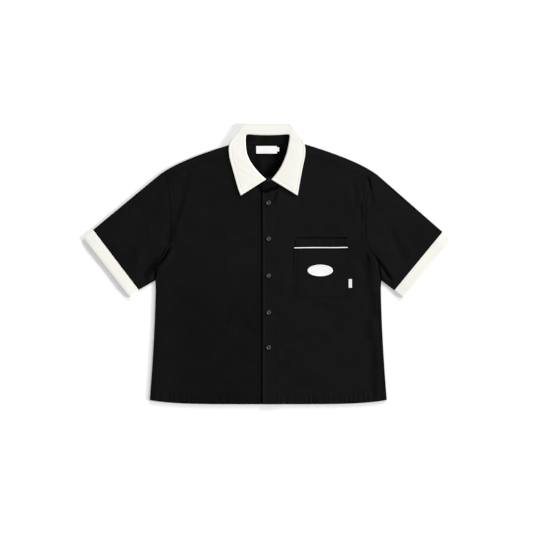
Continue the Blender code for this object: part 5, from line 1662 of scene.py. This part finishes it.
# The flag: a ribbon folded in half, its fold outwards and its ends in the seam
FLAG_WIDE = 0.0077
across = graded((0.0018, 0.0003), (FLAG_WIDE, 0.0007))[::-1] / FLAG_WIDE
plan = rounded_plan(FLAG, 0.0004, 1 - across, edged(0.0212, 0.0016, 0.0003, 0.0011))
x, y = plan[..., 0], plan[..., 1]
tip = np.minimum(1.0, np.sqrt(np.clip((FLAG[1] - x) / 0.0006, 0.0, 1.0)))
selvedge = 0.00012 * bell((np.minimum(y - FLAG[2], FLAG[3] - y) - 0.0009) / 0.0005)
lift = 0.0003 + 0.0005 * smooth((x - FLAG[0]) / FLAG_WIDE)
middle = front_top(x, y) + lift + 0.0003
flag_slab = slab("pocket_flag_ribbon", plan, middle + (0.00035 + selvedge) * tip, middle - 0.0003 * tip)
flag = piece(flag_slab, WHITE_SATIN, "pocket_flag")

# --- Neck labels ----------------------------------------------------------------------------------
# A woven label of white ribbon inside the back neck, bare, with turned ends stitched down, and a small bare
# tab tucked under its end.

NECK_LABEL = (-0.0300, 0.0212, 0.2760, 0.2946)
SIZE_TAB = (0.0215, 0.0270, 0.2812, 0.2915)
WHITE_RIBBON = (satin("white_ribbon", WHITE, 0.00040, 0.0), "white_trim")
WHITE_THREAD = (finish("white_thread", (0.80, 0.80, 0.79), 0.60, 0.30)[0], "white_trim")


def label(name, box, node, ends, lowest, bow):
    """A ribbon lying on the yoke: selvedges along two sides, turned ends a little thicker, a slight bow."""
    wide, deep = box[1] - box[0], box[3] - box[2]
    plan = rounded_plan(box, 0.0006, edged(wide, 0.002, 0.0003, 0.0012), edged(deep, 0.002, 0.0003, 0.0010))
    x, y = plan[..., 0], plan[..., 1]
    side = np.minimum(y - box[2], box[3] - y)
    end = np.minimum(x - box[0], box[1] - x)
    top = 0.00060 + 0.00010 * bell((side - 0.0010) / 0.0005) + 0.00016 * (1 - smooth((end - ends) / 0.0004))
    top = top - 0.00014 * bell((end - ends * 0.6) / 0.0004)
    low = lowest + bow * np.sin(math.pi * (x - box[0]) / wide) * smooth(side / 0.004)
    return piece(slab(name, plan, low + top, low), WHITE_RIBBON, node)


neck_label = label("neck_label_ribbon", NECK_LABEL, "neck_label", 0.0030, YOKE_WALL + 0.00030, 0.0003)
upright = np.array([NECK_LABEL[2] + 0.001, NECK_LABEL[3] - 0.001])
ends = [raised(x, upright, YOKE_WALL + 0.00102) for x in (-0.0284, 0.0196)]
label_stitches = stitched("neck_label_stitches", ends, WHITE_THREAD, 0.0024, 0.0017, 0.00018)
size_tab = label("size_tab_ribbon", SIZE_TAB, "size_tab", 0.0008, YOKE_WALL + 0.00032, 0.0001)

# --- Buttons --------------------------------------------------------------------------------------
# Six buttons of dark grey plastic with a dished middle, a raised rim and four holes, sewn to the right front
# and put through worked buttonholes in the left one.

BUTTON_RADIUS = 0.00525
BUTTON_THICK = 0.0024
STAND_BUTTON = (0.0012, 0.2085, 0.0040)
STAND_BUTTON_SEAT = 0.0054
STAND_BUTTON_THICK = 0.0018
HOLE_OFF = 0.21             # from the button's middle to a hole, as a share of its radius
THREAD_RISE = 0.60          # height of the thread between the holes, as a share of the button's thickness
BEAD = 0.00062              # half the width of a buttonhole's worked edge
SLOT_END = 0.0011           # radius of a buttonhole's ends

# A button's section: shares of its radius, and of its thickness there
RADIUS_MARKS = (0.0, 0.30, 0.50, 0.60, 0.68, 0.76, 0.84, 0.91, 0.96, 1.0)
HEIGHT_MARKS = (0.56, 0.57, 0.60, 0.74, 0.95, 1.0, 0.98, 0.88, 0.76, 0.60)


def plastic(name, grey, specular):
    """Moulded plastic, a little clouded in its depth and finely scuffed."""
    made, _, add, plug, tint = finish(name, (grey, grey, grey * 1.05), 0.30, specular)
    place = add("TexCoord").outputs["Object"]
    clouds = add("TexNoise", Vector=place, Scale=210.0, Detail=3.0).outputs["Fac"]
    spread = add("MapRange", Value=clouds, From_Min=0.35, From_Max=0.65, To_Min=0.80, To_Max=1.20)
    tint(spread.outputs[0])
    scuffs = add("TexNoise", Vector=place, Scale=1900.0, Detail=2.0)
    rough = add("MapRange", Value=scuffs.outputs["Fac"], To_Min=0.24, To_Max=0.42)
    plug(rough.outputs[0], "Roughness")
    return made


BUTTON_PLASTIC = (plastic("button_plastic", 0.034, 0.45), "button_plastic")
# A darker copy of the button plastic for the stand's button: painted shade where it lies under the collar's
# points.
SHADED_PLASTIC = (plastic("stand_button_shaded_plastic", 0.010, 0.10), "button_plastic")


def button(name, node, x, y, seat, radius, thick, moulded):
    """A turned disc: dished, then a raised rim that falls to the edge, with four holes round its middle."""
    plan = oval_plan((x, y), (2 * radius, 2 * radius), 58)
    off_x, off_y = (plan[..., 0] - x) / radius, (plan[..., 1] - y) / radius
    r = np.hypot(off_x, off_y)
    top = seat + thick * np.interp(r, RADIUS_MARKS, HEIGHT_MARKS)
    hole = np.hypot(np.abs(off_x) - HOLE_OFF, np.abs(off_y) - HOLE_OFF)
    top = top - thick * 0.44 * smooth((0.155 - hole) / 0.045)
    low = seat + thick * 0.24 * smooth((r - 0.72) / 0.28)
    return piece(slab(name, plan, top, low), moulded, node)


def buttonhole(name, x, y, turned, length, top):
    """A worked slot: a bead of close stitches round it, along the front's length or turned across it."""
    count, sides = 40, 8
    t = np.linspace(0.0, 2 * math.pi, count + 1)[:-1]
    straight = (length - 0.0024) / 2 * np.tanh(3.5 * np.sin(t)) / math.tanh(3.5)
    path = np.stack([SLOT_END * np.cos(t), straight + SLOT_END * np.sin(t)], 1)
    away = unit(np.stack([np.cos(t), 0.25 * np.sin(t)], 1))
    if turned:
        path, away = path[:, ::-1] * (1, -1), away[:, ::-1] * (1, -1)
    around = np.arange(sides) * math.pi / 4
    plan = path[:, None] + away[:, None] * (BEAD * np.cos(around))[None, :, None] + (x, y)
    height = top + 0.00038 * np.sin(around)[None] + 0.00003 * (np.arange(count) % 2)[:, None]
    r, c = (k.ravel() for k in np.meshgrid(np.arange(count), np.arange(sides), indexing="ij"))
    row, next_row, next_c = r * sides, (r + 1) % count * sides, (c + 1) % sides
    faces = np.stack([row + c, next_row + c, next_row + next_c, row + next_c], 1)
    mesh = quad_mesh(name, lifted(plan, height).reshape(-1, 3), faces, np.zeros((len(faces), 4, 2)))
    return piece(mesh, BLACK_THREAD)


def sewn_on(name, x, y, radius, height):
    """Two bars of thread between the button's holes."""
    centre = np.array([(x - HOLE_OFF * radius, y, height), (x + HOLE_OFF * radius, y, height)])
    way = np.array([(0.0, 1.0, 0.0), (0.0, 1.0, 0.0)])
    return capsules(name, centre, way, 0.62 * radius, 0.00034, BLACK_THREAD)


for number, button_y in enumerate(BUTTON_YS, start=1):
    top = float(front_top(np.array([BUTTON_X]), np.array([button_y]))[0])
    buttonhole(f"buttonhole_{number}", BUTTON_X, button_y - 0.0012, False, 0.0155, top)
    seat = top + 0.0003
    sizes = (seat, BUTTON_RADIUS, BUTTON_THICK)
    button(f"button_{number}_disc", f"button_{number}", BUTTON_X, button_y, *sizes, BUTTON_PLASTIC)
    sewn_on(f"button_{number}_thread", BUTTON_X, button_y, BUTTON_RADIUS, seat + THREAD_RISE * BUTTON_THICK)
sizes = (STAND_BUTTON_SEAT, STAND_BUTTON[2], STAND_BUTTON_THICK)
button("button_stand_disc", "button_stand", *STAND_BUTTON[:2], *sizes, SHADED_PLASTIC)
sewn_on("button_stand_thread", *STAND_BUTTON, STAND_BUTTON_SEAT + THREAD_RISE * STAND_BUTTON_THICK)
buttonhole("buttonhole_stand", STAND_BUTTON[0] + 0.0012, STAND_BUTTON[1], True, 0.0135, STAND_BUTTON_SEAT)

# --- Floor, light and camera ----------------------------------------------------------------------
# A plain white surface, an even pale surround, two soft lights from the right and the upper right, and a
# camera straight above.

FLOOR_HALF = 6.0
FLOOR_TOP = -0.0001
bpy.ops.mesh.primitive_grid_add(x_subdivisions=1, y_subdivisions=1, size=1.0)
floor = bpy.context.active_object
floor.name = "floor"
corners = FLOOR_HALF * np.array([(-1, -1), (1, -1), (-1, 1), (1, 1)])
floor.data.vertices.foreach_set("co", lifted(corners, FLOOR_TOP).astype(np.float32).ravel())
floor.data.materials.append(finish("floor_paint", (0.97, 0.97, 0.97), 0.9, 0.0)[0])

scene = bpy.context.scene
scene.view_settings.view_transform = "Standard"
world = bpy.data.worlds.new("surround")
world.use_nodes = True
surround = world.node_tree.nodes["Background"].inputs
surround["Color"].default_value = (1.0, 1.0, 1.0, 1.0)
surround["Strength"].default_value = 0.62
scene.world = world

#    name, strength, height over the surface and bearing in degrees, spread
SUNS = (("side_light", 3.5, 13.3, 0.0, 0.12), ("top_light", 2.94, 13.5, 60.0, 0.25))
for name, strength, rise, bearing, spread in SUNS:
    sun = bpy.data.lights.new(name, "SUN")
    sun.energy = strength
    sun.angle = spread
    light = bpy.data.objects.new(name, sun)
    light.rotation_euler = (0.0, math.radians(90.0 - rise), math.radians(bearing))
    scene.collection.objects.link(light)

lens = bpy.data.cameras.new("camera")
lens.lens = 100.0
lens.sensor_width = 36.0
camera = bpy.data.objects.new("camera", lens)
camera.location = (-0.0025, -0.00625, 3.7014)
scene.collection.objects.link(camera)
scene.camera = camera
